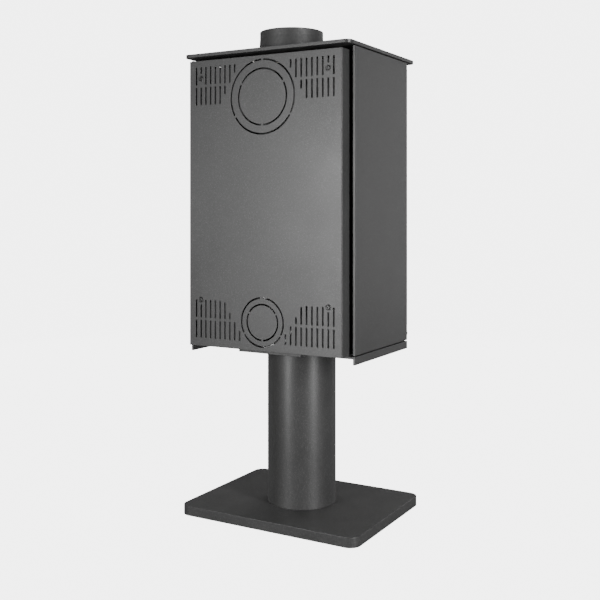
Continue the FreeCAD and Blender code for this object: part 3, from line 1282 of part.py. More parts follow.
def glass_clips(side, low, high, glass_back):
    """Clips over the glass edges, each on a foot beside the glass and one screw."""
    clips, screws = [], []
    spots = []
    for z in (f"({low} + clip_corner)", f"(({low} + {high}) / 2)",
              f"({high} - clip_corner)"):
        spots += [("x", 1, z), ("x", -1, z)]
    for x in ("-clip_from_middle", "clip_from_middle"):
        spots += [("z", -1, x), ("z", 1, x)]
    for i, (edge, sign, along) in enumerate(spots):
        if edge == "x":
            limit = side
        else:
            limit = low if sign < 0 else high
        near, far = f"{limit} + clip_gap", f"{limit} + clip_gap + clip_foot"
        reach = f"{limit} - clip_lap"
        if edge == "x" and sign < 0:
            near, far, reach = minus(far), minus(near), minus(reach)
        if edge == "z" and sign < 0:
            near, far, reach = (f"{limit} - clip_gap - clip_foot", f"{limit} - clip_gap",
                                f"{limit} + clip_lap")
        foot_span = (near, far)
        tongue = (near, reach) if sign < 0 else (reach, far)
        breadth = around_place(along, "clip_width")
        pairs = [(foot_span, breadth), (tongue, breadth)]
        if edge == "z":
            pairs = [(b, a) for a, b in pairs]
        base = block(f"clip_foot_{i}", pairs[0][0], ("door_rear", glass_back), pairs[0][1])
        plate = block(f"clip_plate_{i}", pairs[1][0], (glass_back, f"{glass_back} + clip_thick"),
                      pairs[1][1])
        middle = f"({near} + {far}) / 2"
        x, z = (middle, along) if edge == "x" else (along, middle)
        deep = f"({glass_back} + clip_thick)"
        drill = rod(f"clip_drill_{i}", "clip_screw + thread_clearance",
                    f"{deep} - door_rear + 2 * cut_past", (x, "door_rear - cut_past", z), "y")
        clips.append(cut(f"clip_{i}", fuse(f"clip_blank_{i}", [base, plate]), [drill]))
        shank = rod(f"clip_shank_{i}", "clip_screw", f"{deep} - door_rear", (x, "door_rear", z), "y")
        head = rod(f"clip_head_{i}", "clip_screw_head", "clip_screw_rise", (x, deep, z), "y")
        screws.append(fuse(f"clip_screw_{i}", [shank, head]))
    node(group("Clips", clips), "glass_clips")
    node(group("ClipScrews", screws), "glass_clip_screws")


def handle():
    """Upright grip on a turning shaft with the latch cam at its inner end."""
    grip_y = "(-grip_face + grip_radius)"
    hub_end = f"({grip_y} + grip_hub)"
    sleeve_end = "(door_face - rosette_thick - sleeve_gap)"
    bar = rod("grip_bar", "grip_radius", "grip_length",
              ("handle_x", grip_y, "handle_z + grip_over - grip_length"))
    eased = rounded("grip_ends", bar, "door_corner", lambda e: span(e, "z") < TINY)
    hub = rod("grip_boss", "sleeve_radius", "grip_hub", ("handle_x", grip_y, "handle_z"), "y")
    socket = rod("grip_socket", "shaft_radius", "grip_hub + cut_past",
                 ("handle_x", grip_y, "handle_z"), "y")
    node(cut("Grip", fuse("grip_blank", [eased, hub]), [socket]), "handle_grip")

    tube = rod("sleeve_tube", "sleeve_radius", f"{sleeve_end} - {hub_end}",
               ("handle_x", hub_end, "handle_z"), "y")
    bore = rod("sleeve_bore", "shaft_radius + weld_gap", f"{sleeve_end} - {hub_end} + 2 * cut_past",
               ("handle_x", f"{hub_end} - cut_past", "handle_z"), "y")
    node(cut("Sleeve", tube, [bore]), "handle_sleeve")

    thick_end = "(door_rear + shaft_step)"
    cam_back = "(cam_front + cam_thick)"
    main = rod("shaft_main", "shaft_radius", f"{thick_end} - {grip_y}",
               ("handle_x", grip_y, "handle_z"), "y")
    end = rod("shaft_end", "shaft_end_radius", f"{cam_back} + nut_thick - {thick_end}",
              ("handle_x", thick_end, "handle_z"), "y")
    node(fuse("Shaft", [main, end]), "handle_shaft")

    plate = block("cam_plate", ("handle_x - cam_width / 2", "handle_x + cam_width / 2"),
                  ("cam_front", cam_back), ("handle_z - cam_tail", "handle_z + cam_length"))
    bore = "shaft_end_radius + thread_clearance"
    hole = rod("cam_hole", bore, "cam_thick + 2 * cut_past",
               ("handle_x", "cam_front - cut_past", "handle_z"), "y")
    node(cut("Cam", plate, [hole]), "latch_cam")
    nut = hexagon("nut_blank", "shaft_end_radius * hex_ratio", "nut_thick",
                  ("handle_x", cam_back, "handle_z"), "y")
    thread = rod("nut_thread", bore, "nut_thick + 2 * cut_past",
                 ("handle_x", f"{cam_back} - cut_past", "handle_z"), "y")
    node(cut("HandleNut", nut, [thread]), "handle_nut")


def air_control():
    """Sliding shutter with its rod and knob."""
    right = "(1.5 * air_port_pitch + air_port_width / 2 + shutter_end)"
    plate = block("shutter_plate", ("-air_knob_x - air_knob_radius", right),
                  ("shutter_front", "shutter_rear"), ("shutter_low", "shutter_top"))
    through = past("shutter_front", "shutter_rear")
    node(cut("Shutter", plate, ports("shutter_port", through, "-air_travel")), "air_shutter")
    knob_rear = "(-air_knob_face + air_knob_length)"
    node(rod("ControlRod", "air_rod_radius", f"shutter_front - ({knob_rear} - air_rod_grip)",
             ("-air_knob_x", f"{knob_rear} - air_rod_grip", "knob_z"), "y"), "air_control_rod")
    grip = rod("knob_blank", "air_knob_radius", "air_knob_length",
               ("-air_knob_x", "-air_knob_face", "knob_z"), "y")
    eased = rounded("knob_ends", grip, "panel_edge", lambda e: span(e, "y") < TINY)
    socket = rod("knob_socket", "air_rod_radius", "air_rod_grip + cut_past",
                 ("-air_knob_x", f"{knob_rear} - air_rod_grip", "knob_z"), "y")
    node(cut("Knob", eased, [socket]), "air_control_knob")


pedestal_base()
pedestal_column()
floor_tray()
side_panels()
top_plate()
back_cover()
firebox()
rear_outlet(flue_collar())
air_spigot()
hearth()
ash_pan()
front_frame()
hinges()
keeper()
lower_front()
door()
handle()
air_control()
doc.removeObject("Trial")
doc.recompute()

# ---------------------------------------------------------------- output
for item in doc.Objects:
    if set(item.State) & {"Invalid", "Error"}:
        raise RuntimeError(f"{item.Name} failed: {item.State}")
os.makedirs("parts", exist_ok=True)
for part in nodes:
    shape = part.Shape
    if shape.isNull() or not shape.isValid() or not shape.Solids:
        raise RuntimeError(f"{part.Label} has no valid solid")
    shape.exportStep(f"parts/{part.Label}.step")
print(len(nodes), "sub-parts written")
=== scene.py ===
"""Looks of the wood burning stove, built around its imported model.

Metres, +Z up.  The door faces -Y and the slotted back cover faces +Y.  Every
finish is procedural and reads object coordinates, and the rope's also reads
marks that follow its braid.  New pieces are surfaces worked out with numpy, or
joined and bevelled copies of plain blocks.
"""

import json
import math

import bmesh
import bpy
import numpy as np
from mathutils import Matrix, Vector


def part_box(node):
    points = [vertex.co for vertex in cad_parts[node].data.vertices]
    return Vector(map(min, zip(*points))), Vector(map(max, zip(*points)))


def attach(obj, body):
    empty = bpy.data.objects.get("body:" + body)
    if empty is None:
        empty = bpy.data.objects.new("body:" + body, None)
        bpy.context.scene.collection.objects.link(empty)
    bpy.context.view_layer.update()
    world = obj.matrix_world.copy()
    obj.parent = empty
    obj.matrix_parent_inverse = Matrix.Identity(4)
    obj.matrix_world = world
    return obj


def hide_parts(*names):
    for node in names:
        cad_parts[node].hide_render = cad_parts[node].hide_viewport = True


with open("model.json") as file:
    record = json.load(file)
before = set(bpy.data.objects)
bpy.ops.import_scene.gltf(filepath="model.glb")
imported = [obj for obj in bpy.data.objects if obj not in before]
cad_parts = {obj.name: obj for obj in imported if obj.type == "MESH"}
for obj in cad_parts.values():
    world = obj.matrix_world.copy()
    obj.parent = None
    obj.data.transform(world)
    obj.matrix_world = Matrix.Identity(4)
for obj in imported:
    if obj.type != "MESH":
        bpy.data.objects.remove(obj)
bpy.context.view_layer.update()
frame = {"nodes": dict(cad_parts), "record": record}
record = frame["record"]
slot_of = {row["node"]: row["material_slot"] for row in record["subparts"]}
body_of = {node: body for body, nodes in record["behaviour"]["bodies"].items()
           for node in nodes}
MM = 0.001
SAME_POINT = 1e-6               # points nearer than this are one point


# ---------------------------------------------------------------- camera
CAMERA_PLACE = (-1.06839, 1.87711, 0.70911)
CAMERA_TURN = math.radians(209.84)
CAMERA_SHIFT = (0.00214, -0.15302)
SENSOR_WIDTH_MM, FOCAL_LENGTH_MM = 36.0, 55.015


def set_camera():
    """Level camera behind the stove, to its left, a little over half its height up."""
    lens = bpy.data.cameras.new("studio_camera")
    lens.sensor_width, lens.lens = SENSOR_WIDTH_MM, FOCAL_LENGTH_MM
    lens.shift_x, lens.shift_y = CAMERA_SHIFT
    camera = bpy.data.objects.new("studio_camera", lens)
    camera.location = CAMERA_PLACE
    camera.rotation_euler = (math.pi / 2, 0, CAMERA_TURN)
    bpy.context.scene.collection.objects.link(camera)
    bpy.context.scene.camera = camera


# ---------------------------------------------------------------- meshes
def mesh_piece(name, points, faces):
    """Smooth mesh object at the origin from arrays of points and faces."""
    mesh = bpy.data.meshes.new(name)
    mesh.from_pydata(points.reshape(-1, 3).tolist(), [], faces.tolist())
    mesh.polygons.foreach_set("use_smooth", np.ones(len(mesh.polygons), bool))
    mesh.update()
    piece = bpy.data.objects.new(name, mesh)
    bpy.context.scene.collection.objects.link(piece)
    return piece


def grid_faces(rows, columns, close_rows, close_columns):
    """Quads of a grid of points; either direction may close on itself.

    The face of row i and column j joins the points (i, j), (i+1, j),
    (i+1, j+1) and (i, j+1), with the indices taken round at a closed end.
    """
    i, j = np.meshgrid(np.arange(rows if close_rows else rows - 1),
                       np.arange(columns if close_columns else columns - 1), indexing="ij")
    i_next, j_next = (i + 1) % rows, (j + 1) % columns
    corners = [i * columns + j, i_next * columns + j,
               i_next * columns + j_next, i * columns + j_next]
    return np.stack([c.ravel() for c in corners], axis=1)


def turned(name, centres, axis, profile, steps):
    """Surfaces of revolution of one profile of (distance along the axis, radius) pairs.

    A point is centre + distance * axis + radius * (cos a * side + sin a * up),
    for a going once round, at each centre.  A profile that starts and ends on
    the axis shrinks to a point there, one that ends where it starts is a ring,
    and in both cases the doubles are merged.
    """
    axis = np.array(axis, float)
    lying = abs(axis[2]) < 0.5
    side = np.array((0.0, 0.0, 1.0) if lying else (1.0, 0.0, 0.0))
    up = np.cross(axis, side)
    along, radius = np.array(profile, float).T
    angle = np.linspace(0, 2 * math.pi, steps, endpoint=False)
    ring = np.cos(angle)[:, None] * side + np.sin(angle)[:, None] * up
    shape = along[:, None, None] * axis + radius[:, None, None] * ring
    points = np.array(centres, float)[:, None, None, :] + shape
    faces = grid_faces(len(along), steps, False, True)
    starts = np.arange(len(centres)) * len(along) * steps
    piece = mesh_piece(name, points, (faces + starts[:, None, None]).reshape(-1, 4))
    made = bmesh.new()
    made.from_mesh(piece.data)
    bmesh.ops.remove_doubles(made, verts=made.verts, dist=SAME_POINT)
    bmesh.ops.recalc_face_normals(made, faces=made.faces)
    made.to_mesh(piece.data)
    made.free()
    return piece


def settle(piece, node, replaced=()):
    """Rides a finished piece on a CAD node's body and gives it that node's finish."""
    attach(piece, body_of[node])
    if replaced:
        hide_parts(*replaced)
    piece.data.materials.clear()
    piece.data.materials.append(finishes[slot_of[node]])


# ---------------------------------------------------------------- node helpers
def put(tree, kind, inputs=(), **settings):
    """Adds a node; inputs is a dict of socket name or number to a value or an output."""
    node = tree.nodes.new(kind)
    for key, value in settings.items():
        setattr(node, key, value)
    for key, value in dict(inputs).items():
        if isinstance(value, bpy.types.NodeSocket):
            tree.links.new(value, node.inputs[key])
        else:
            node.inputs[key].default_value = value
    return node


def maths(tree, operation, *values):
    """Math node's output."""
    return put(tree, "ShaderNodeMath", dict(enumerate(values)), operation=operation).outputs[0]


def times(tree, first, second):
    """Product of two values."""
    return maths(tree, "MULTIPLY", first, second)


def mixture(tree, first, first_share, second, second_share):
    """Sum of two values, each times its share."""
    return maths(tree, "MULTIPLY_ADD", first, first_share, times(tree, second, second_share))


def remap(tree, value, low, high, new_low=0.0, new_high=1.0):
    """Value moved from one range to another, and held inside it."""
    spans = {"Value": value, "From Min": low, "From Max": high,
             "To Min": new_low, "To Max": new_high}
    return put(tree, "ShaderNodeMapRange", spans).outputs["Result"]


def noise(tree, place, scale, detail=2.0, roughness=0.5):
    """Noise value at a place."""
    settings = {"Vector": place, "Scale": scale, "Detail": detail, "Roughness": roughness}
    return put(tree, "ShaderNodeTexNoise", settings).outputs["Fac"]


def cell_value(tree, place, scale):
    """Value that is the same all over each cell of a Voronoi pattern."""
    cells = put(tree, "ShaderNodeTexVoronoi", {"Vector": place, "Scale": scale})
    return put(tree, "ShaderNodeSeparateColor", {"Color": cells.outputs["Color"]}).outputs[0]


def blend(tree, share, first, second):
    """Colour between two colours or outputs."""
    mix = tree.nodes.new("ShaderNodeMix")
    mix.data_type = "RGBA"
    sockets = [s for s in mix.inputs if s.type == "RGBA"]
    for socket, value in zip([mix.inputs[0], *sockets], (share, first, second)):
        if isinstance(value, bpy.types.NodeSocket):
            tree.links.new(value, socket)
        else:
            socket.default_value = value
    return next(s for s in mix.outputs if s.type == "RGBA")


def stretch(tree, place, x, y, z):
    """Place scaled by its own amount on each axis."""
    return put(tree, "ShaderNodeMapping", {"Vector": place, "Scale": (x, y, z)}).outputs["Vector"]


def new_group(name, inputs, outputs):
    """Shader node group with named inputs and their start values, and named outputs."""
    group = bpy.data.node_groups.new(name, "ShaderNodeTree")
    for socket, kind, start in inputs:
        made = group.interface.new_socket(socket, in_out="INPUT", socket_type=kind)
        if start is not None:
            made.default_value = start
    for socket, kind in outputs:
        group.interface.new_socket(socket, in_out="OUTPUT", socket_type=kind)
    source = group.nodes.new("NodeGroupInput").outputs
    return group, source, group.nodes.new("NodeGroupOutput")


FLOAT, VECTOR = "NodeSocketFloat", "NodeSocketVector"


# ---------------------------------------------------------------- shared effects
def make_grain_group():
    """Sprayed grain: fine noise over coarser peel, broad mottling, and bright mica flecks."""
    peel_scale, fleck_scale = 0.35, 1.3         # beside the grain's own scale
    dimmest_fleck = 0.86
    group, source, out = new_group(
        "sprayed_grain",
        [("Place", VECTOR, None), ("Grains", FLOAT, 900.0), ("Patches", FLOAT, 9.0)],
        [("Height", FLOAT), ("Mottle", FLOAT), ("Flecks", FLOAT)])
    place, grains = source["Place"], source["Grains"]
    fine = noise(group, place, grains, detail=3.0, roughness=0.6)
    peel = noise(group, place, times(group, grains, peel_scale), detail=1.0)
    broad = noise(group, place, source["Patches"], detail=3.0, roughness=0.6)
    shine = cell_value(group, place, times(group, grains, fleck_scale))
    group.links.new(mixture(group, fine, 0.6, peel, 0.4), out.inputs["Height"])
    group.links.new(mixture(group, broad, 0.7, fine, 0.3), out.inputs["Mottle"])
    group.links.new(remap(group, shine, dimmest_fleck, 1.0), out.inputs["Flecks"])
    return group


def make_edge_group():
    """Rubbed edges: one where the rounded normal leaves the true one, broken up by noise."""
    least_turn = 0.01
    group, source, out = new_group(
        "rubbed_edges",
        [("Place", VECTOR, None), ("Radius", FLOAT, 0.001), ("Reach", FLOAT, 0.25)],
        [("Mask", FLOAT), ("Normal", VECTOR)])
    eased = put(group, "ShaderNodeBevel", {"Radius": source["Radius"]}, samples=8).outputs["Normal"]
    flat = group.nodes.new("ShaderNodeNewGeometry").outputs["True Normal"]
    agree = put(group, "ShaderNodeVectorMath", {0: eased, 1: flat},
                operation="DOT_PRODUCT").outputs["Value"]
    turned_away = maths(group, "SUBTRACT", 1.0, agree)
    edge = remap(group, turned_away, least_turn, source["Reach"])
    scratches = noise(group, source["Place"], 140.0, detail=4.0, roughness=0.7)
    broken = remap(group, scratches, 0.35, 0.6)
    group.links.new(times(group, edge, broken), out.inputs["Mask"])
    group.links.new(eased, out.inputs["Normal"])
    return group


def make_dust_group():
    """Settled dust: the amount on level faces, none on steep ones, broken up by noise."""
    steepest, least_cover = 0.55, 0.25
    group, source, out = new_group(
        "settled_dust", [("Place", VECTOR, None), ("Amount", FLOAT, 0.3)], [("Mask", FLOAT)])
    facing = group.nodes.new("ShaderNodeNewGeometry").outputs["Normal"]
    up = put(group, "ShaderNodeSeparateXYZ", {0: facing}).outputs["Z"]
    lying = remap(group, up, steepest, 1.0)
    clouds = noise(group, source["Place"], 16.0, detail=5.0, roughness=0.65)
    cloudy = remap(group, clouds, 0.35, 0.75, least_cover, 1.0)
    group.links.new(times(group, times(group, lying, cloudy), source["Amount"]),
                    out.inputs["Mask"])
    return group


def make_cast_group():
    """Cast skin: rounded pits and swells of two sizes, as sand leaves them."""
    swell_scale = 0.2                           # beside the sand's own scale
    group, source, out = new_group(
        "cast_skin", [("Place", VECTOR, None), ("Sand", FLOAT, 520.0)],
        [("Height", FLOAT), ("Pits", FLOAT)])
    cells = put(group, "ShaderNodeTexVoronoi",
                {"Vector": source["Place"], "Scale": source["Sand"]},
                feature="SMOOTH_F1").outputs["Distance"]
    swell = noise(group, source["Place"], times(group, source["Sand"], swell_scale),
                  detail=4.0, roughness=0.6)
    group.links.new(mixture(group, cells, 0.5, swell, 0.9), out.inputs["Height"])
    group.links.new(remap(group, swell, 0.3, 0.7), out.inputs["Pits"])
    return group


def make_soot_group():
    """Soot: patches that thicken between a low and a high level, and upright smears."""
    group, source, out = new_group(
        "soot", [("Place", VECTOR, None), ("Low", FLOAT, 0.5), ("High", FLOAT, 1.0)],
        [("Mask", FLOAT), ("Smears", FLOAT)])
    height = put(group, "ShaderNodeSeparateXYZ", {0: source["Place"]}).outputs["Z"]
    rise = remap(group, height, source["Low"], source["High"])
    patches = noise(group, source["Place"], 11.0, detail=5.0, roughness=0.6)
    smears = noise(group, stretch(group, source["Place"], 1.0, 1.0, 0.25), 60.0,
                   detail=4.0, roughness=0.7)
    thick = maths(group, "ADD", times(group, rise, 0.5), patches)
    group.links.new(remap(group, thick, 0.35, 0.95), out.inputs["Mask"])
    group.links.new(smears, out.inputs["Smears"])
    return group


grain, edges, dust = make_grain_group(), make_edge_group(), make_dust_group()
cast_skin, soot = make_cast_group(), make_soot_group()


# ---------------------------------------------------------------- finishes
def start_finish(name, **constants):
    """Material with a Principled shader, its constant values, and object coordinates."""
    material = bpy.data.materials.new(name)
    material.use_nodes = True
    tree = material.node_tree
    tree.nodes.clear()
    shader = put(tree, "ShaderNodeBsdfPrincipled")
    for key, value in constants.items():
        shader.inputs[key.replace("_", " ")].default_value = value
    out = tree.nodes.new("ShaderNodeOutputMaterial")
    tree.links.new(shader.outputs["BSDF"], out.inputs["Surface"])
    place = tree.nodes.new("ShaderNodeTexCoord").outputs["Object"]
    return material, tree, shader, place


def give(tree, shader, color, roughness, normal):
    """Links a finish's varying colour, roughness and normal to its shader."""
    tree.links.new(color, shader.inputs["Base Color"])
    tree.links.new(roughness, shader.inputs["Roughness"])
    tree.links.new(normal, shader.inputs["Normal"])


def fill_group(tree, group, **inputs):
    """Outputs of a shared effect placed with its inputs linked or set."""
    return put(tree, "ShaderNodeGroup", inputs, node_tree=group).outputs


def bump(tree, height, depth, normal=None, strength=1.0):
    """Bump node's normal, depth in metres."""
    inputs = {"Height": height, "Distance": depth, "Strength": strength}
    if normal is not None:
        inputs["Normal"] = normal
    return put(tree, "ShaderNodeBump", inputs).outputs["Normal"]


def grey(value, warmth=0.0):
    """Neutral colour with a slight warmth."""
    return (value * (1 + warmth), value, value * (1 - warmth), 1.0)


def painted(name, base, mottled, rough, grains, depth, wear, dusty):
    """Sprayed heat-resistant paint: grain, mottling, mica flecks, rubbed edges and dust.

    It is rougher where the surface turns away from the eye, so it doesn't
    mirror the lights at a glancing view.
    """
    mica, mica_share, primer, dust_grey = grey(0.22), 0.35, grey(0.14), grey(0.16, 0.03)
    edge_radius, glancing_rough = 0.6 * MM, 0.18
    material, tree, shader, place = start_finish(name)
    spray = fill_group(tree, grain, Place=place, Grains=grains)
    rub = fill_group(tree, edges, Place=place, Radius=edge_radius)
    lying = fill_group(tree, dust, Place=place, Amount=dusty)
    coat = blend(tree, remap(tree, spray["Mottle"], 0.3, 0.7), base, mottled)
    sparkling = blend(tree, times(tree, spray["Flecks"], mica_share), coat, mica)
    worn = blend(tree, times(tree, rub["Mask"], wear), sparkling, primer)
    sheen = remap(tree, spray["Mottle"], 0.25, 0.75, rough - 0.05, rough + 0.07)
    facing = tree.nodes.new("ShaderNodeLayerWeight").outputs["Facing"]
    glance = remap(tree, facing, 0.45, 0.8, 0.0, glancing_rough)
    give(tree, shader, blend(tree, lying["Mask"], worn, dust_grey),
         maths(tree, "ADD", sheen, glance), bump(tree, spray["Height"], depth, rub["Normal"]))
    return material


def cast(name, base, pitted, rough, sand, depth, wear):
    """Casting, painted or raw: sandy skin, darker pits and rubbed edges."""
    rubbed, edge_radius = grey(0.15), 1.4 * MM
    material, tree, shader, place = start_finish(name)
    skin = fill_group(tree, cast_skin, Place=place, Sand=sand)
    rub = fill_group(tree, edges, Place=place, Radius=edge_radius)
    coat = blend(tree, skin["Pits"], pitted, base)
    give(tree, shader, blend(tree, times(tree, rub["Mask"], wear), coat, rubbed),
         remap(tree, skin["Pits"], 0.0, 1.0, rough + 0.08, rough - 0.04),
         bump(tree, skin["Height"], depth, rub["Normal"]))
    return material


def metal(name, base, dull, rough, lines, depth, spangle=0.0):
    """Bare or plated steel: drawn lines up its height, dull patches, soft edges.

    A spangle above zero adds the flat crystals of hot-dip galvanising.
    """
    edge_radius, spangle_share = 0.5 * MM, 0.5
    material, tree, shader, place = start_finish(name, Metallic=1.0)
    drawn = noise(tree, stretch(tree, place, 1.0, 1.0, 0.04), lines, detail=3.0, roughness=0.7)
    patch = noise(tree, place, 35.0, detail=4.0, roughness=0.6)
    rub = fill_group(tree, edges, Place=place, Radius=edge_radius)
    tone = blend(tree, remap(tree, patch, 0.35, 0.7), base, dull)
    if spangle:
        facet = cell_value(tree, place, spangle)
        tone = blend(tree, times(tree, facet, spangle_share), tone, dull)
    uneven = mixture(tree, drawn, 0.5, patch, 0.5)
    give(tree, shader, tone, remap(tree, uneven, 0.3, 0.7, rough - 0.08, rough + 0.1),
         bump(tree, drawn, depth, rub["Normal"]))
    return material


def firebox_finish():
    """Black heat-resistant paint inside and under the stove, sooted higher up."""
    black, faded, soot_grey, rubbed = grey(0.040), grey(0.055), grey(0.008), grey(0.09)
    soot_share, rub_share = 0.7, 0.4
    material, tree, shader, place = start_finish("firebox_steel")
    spray = fill_group(tree, grain, Place=place, Grains=700.0)
    smoke = fill_group(tree, soot, Place=place)
    rub = fill_group(tree, edges, Place=place, Radius=0.8 * MM)
    paint = blend(tree, remap(tree, spray["Mottle"], 0.3, 0.7), black, faded)
    sooted = blend(tree, times(tree, smoke["Mask"], soot_share), paint, soot_grey)
    give(tree, shader, blend(tree, times(tree, rub["Mask"], rub_share), sooted, rubbed),
         remap(tree, smoke["Smears"], 0.3, 0.7, 0.5, 0.8),
         bump(tree, spray["Height"], 0.05 * MM, rub["Normal"]))
    return material


def brick_finish():
    """Pressed vermiculite: warm buff with bright and dark flakes, scorched towards the top."""
    buff, light_buff = (0.50, 0.37, 0.21, 1), (0.62, 0.49, 0.31, 1)
    bright_flake, dark_flake = (0.74, 0.62, 0.40, 1), (0.16, 0.11, 0.06, 1)
    scorch, rubbed = (0.05, 0.042, 0.036, 1), (0.7, 0.6, 0.42, 1)
    scorch_low, scorch_high, rub_share = 0.52, 0.95, 0.35
    material, tree, shader, place = start_finish("fire_brick", Specular_IOR_Level=0.25)
    flakes = put(tree, "ShaderNodeTexVoronoi", {"Vector": stretch(tree, place, 1.0, 1.0, 1.6),
                 "Scale": 420.0, "Randomness": 1.0})
    tint = put(tree, "ShaderNodeSeparateColor", {"Color": flakes.outputs["Color"]}).outputs[0]
    crumbs = noise(tree, place, 900.0, detail=4.0, roughness=0.75)
    clouds = noise(tree, place, 14.0, detail=4.0, roughness=0.6)
    smoke = fill_group(tree, soot, Place=place, Low=scorch_low, High=scorch_high)
    rub = fill_group(tree, edges, Place=place, Radius=2.0 * MM, Reach=0.4)
    body = blend(tree, remap(tree, clouds, 0.3, 0.7), buff, light_buff)
    flaked = blend(tree, remap(tree, tint, 0.55, 1.0, 0.0, 0.75), body, bright_flake)
    specked = blend(tree, remap(tree, tint, 0.0, 0.16, 0.7, 0.0), flaked, dark_flake)
    scorched = blend(tree, remap(tree, smoke["Mask"], 0.3, 1.0, 0.0, 0.75), specked, scorch)
    height = mixture(tree, flakes.outputs["Distance"], 0.6, crumbs, 0.5)
    give(tree, shader, blend(tree, times(tree, rub["Mask"], rub_share), scorched, rubbed),
         remap(tree, tint, 0.0, 1.0, 0.95, 0.7), bump(tree, height, 0.5 * MM, rub["Normal"]))
    return material


def rope_finish():
    """Braided glass yarn: fine threads that follow the braid, paler on the crowns."""
    dark_yarn, pale_yarn, crown_yarn = grey(0.035), grey(0.13, 0.02), grey(0.2, 0.03)
    material, tree, shader, place = start_finish("glass_fibre_rope", Specular_IOR_Level=0.3)
    lay = put(tree, "ShaderNodeUVMap", uv_map="lay").outputs["UV"]
    threads = put(tree, "ShaderNodeTexWave", {"Vector": lay, "Scale": 46.0, "Distortion": 1.5,
                  "Detail": 2.0}, bands_direction="DIAGONAL").outputs["Fac"]
    fuzz = noise(tree, place, 1800.0, detail=3.0, roughness=0.7)
    crown = put(tree, "ShaderNodeAttribute", attribute_name="crown").outputs["Fac"]
    tone = blend(tree, times(tree, threads, fuzz), dark_yarn, pale_yarn)
    mixed = mixture(tree, threads, 0.7, fuzz, 0.3)
    give(tree, shader, blend(tree, remap(tree, crown, 0.3, 1.0, 0.0, 0.5), tone, crown_yarn),
         remap(tree, fuzz, 0.2, 0.8, 0.75, 0.95), bump(tree, mixed, 0.25 * MM))
    return material


def gasket_finish():
    """Felted ceramic fibre: pale, matted, with scattered longer fibres."""
    shaded, pale = (0.47, 0.45, 0.40, 1), (0.68, 0.66, 0.61, 1)
    material, tree, shader, place = start_finish("fibre_gasket", Specular_IOR_Level=0.2)
    felt = noise(tree, stretch(tree, place, 1.0, 2.5, 1.0), 1100.0, detail=5.0, roughness=0.8)
    fibres = noise(tree, stretch(tree, place, 6.0, 1.0, 0.4), 420.0, detail=4.0, roughness=0.7)
    height = mixture(tree, felt, 0.6, fibres, 0.4)
    give(tree, shader, blend(tree, remap(tree, fibres, 0.4, 0.65), shaded, pale),
         remap(tree, felt, 0.2, 0.8, 0.8, 1.0), bump(tree, height, 0.2 * MM))
    return material


def glass_finish():
    """Ceramic glass: faintly warm, with a trace of uneven haze and a weak ripple."""
    haziest, ripple_depth, ripple_strength = 0.025, 0.03 * MM, 0.3
    material, tree, shader, place = start_finish(
        "ceramic_glass", Base_Color=(0.93, 0.90, 0.84, 1), Transmission_Weight=1.0, IOR=1.53)
    haze = noise(tree, stretch(tree, place, 1.0, 1.0, 0.35), 9.0, detail=5.0, roughness=0.65)
    tree.links.new(remap(tree, haze, 0.45, 0.85, 0.0, haziest), shader.inputs["Roughness"])
    ripple = noise(tree, place, 14.0, detail=1.0)
    tree.links.new(bump(tree, ripple, ripple_depth, strength=ripple_strength),
                   shader.inputs["Normal"])
    return material


def pad_finish():
    """Moulded glide pad: faintly speckled, a little shiny from sliding."""
    material, tree, shader, place = start_finish("glide_pad")
    speck = noise(tree, place, 1300.0, detail=4.0, roughness=0.7)
    give(tree, shader, blend(tree, remap(tree, speck, 0.4, 0.7), grey(0.012), grey(0.03)),
         remap(tree, speck, 0.3, 0.7, 0.4, 0.6), bump(tree, speck, 0.04 * MM))
    return material


finishes = {
    "casing_paint": painted(
        "casing_paint", base=grey(0.036), mottled=grey(0.046), rough=0.385,
        grains=1000.0, depth=0.03 * MM, wear=0.05, dusty=0.1),
    "cast_iron_paint": cast(
        "cast_iron_paint", base=grey(0.052), pitted=grey(0.036), rough=0.50,
        sand=700.0, depth=0.10 * MM, wear=0.5),
    "raw_cast_iron": cast(
        "raw_cast_iron", base=grey(0.045, 0.06), pitted=grey(0.022, 0.1), rough=0.62,
        sand=420.0, depth=0.35 * MM, wear=0.6),
    "firebox_steel": firebox_finish(),
    "galvanised_steel": metal(
        "galvanised_steel", base=grey(0.42), dull=grey(0.30), rough=0.38,
        lines=300.0, depth=0.01 * MM, spangle=160.0),
    "fastener_steel": metal(
        "fastener_steel", base=grey(0.46, 0.03), dull=grey(0.28, 0.05), rough=0.34,
        lines=900.0, depth=0.012 * MM),
    "black_screw": painted(
        "black_screw", base=grey(0.008), mottled=grey(0.012), rough=0.30,
        grains=1800.0, depth=0.012 * MM, wear=0.3, dusty=0.0),
    "satin_steel": metal(
        "satin_steel", base=grey(0.44), dull=grey(0.34), rough=0.30,
        lines=1500.0, depth=0.01 * MM),
    "fire_brick": brick_finish(),
    "glass_fibre_rope": rope_finish(),
    "fibre_gasket": gasket_finish(),
    "ceramic_glass": glass_finish(),
    "glide_pad": pad_finish(),
}


# ---------------------------------------------------------------- pieces
def dress_cad_nodes():
    """Gives every CAD node the finish of its material slot."""
    for name, item in frame["nodes"].items():
        item.data.materials.clear()
        item.data.materials.append(finishes[slot_of[name]])


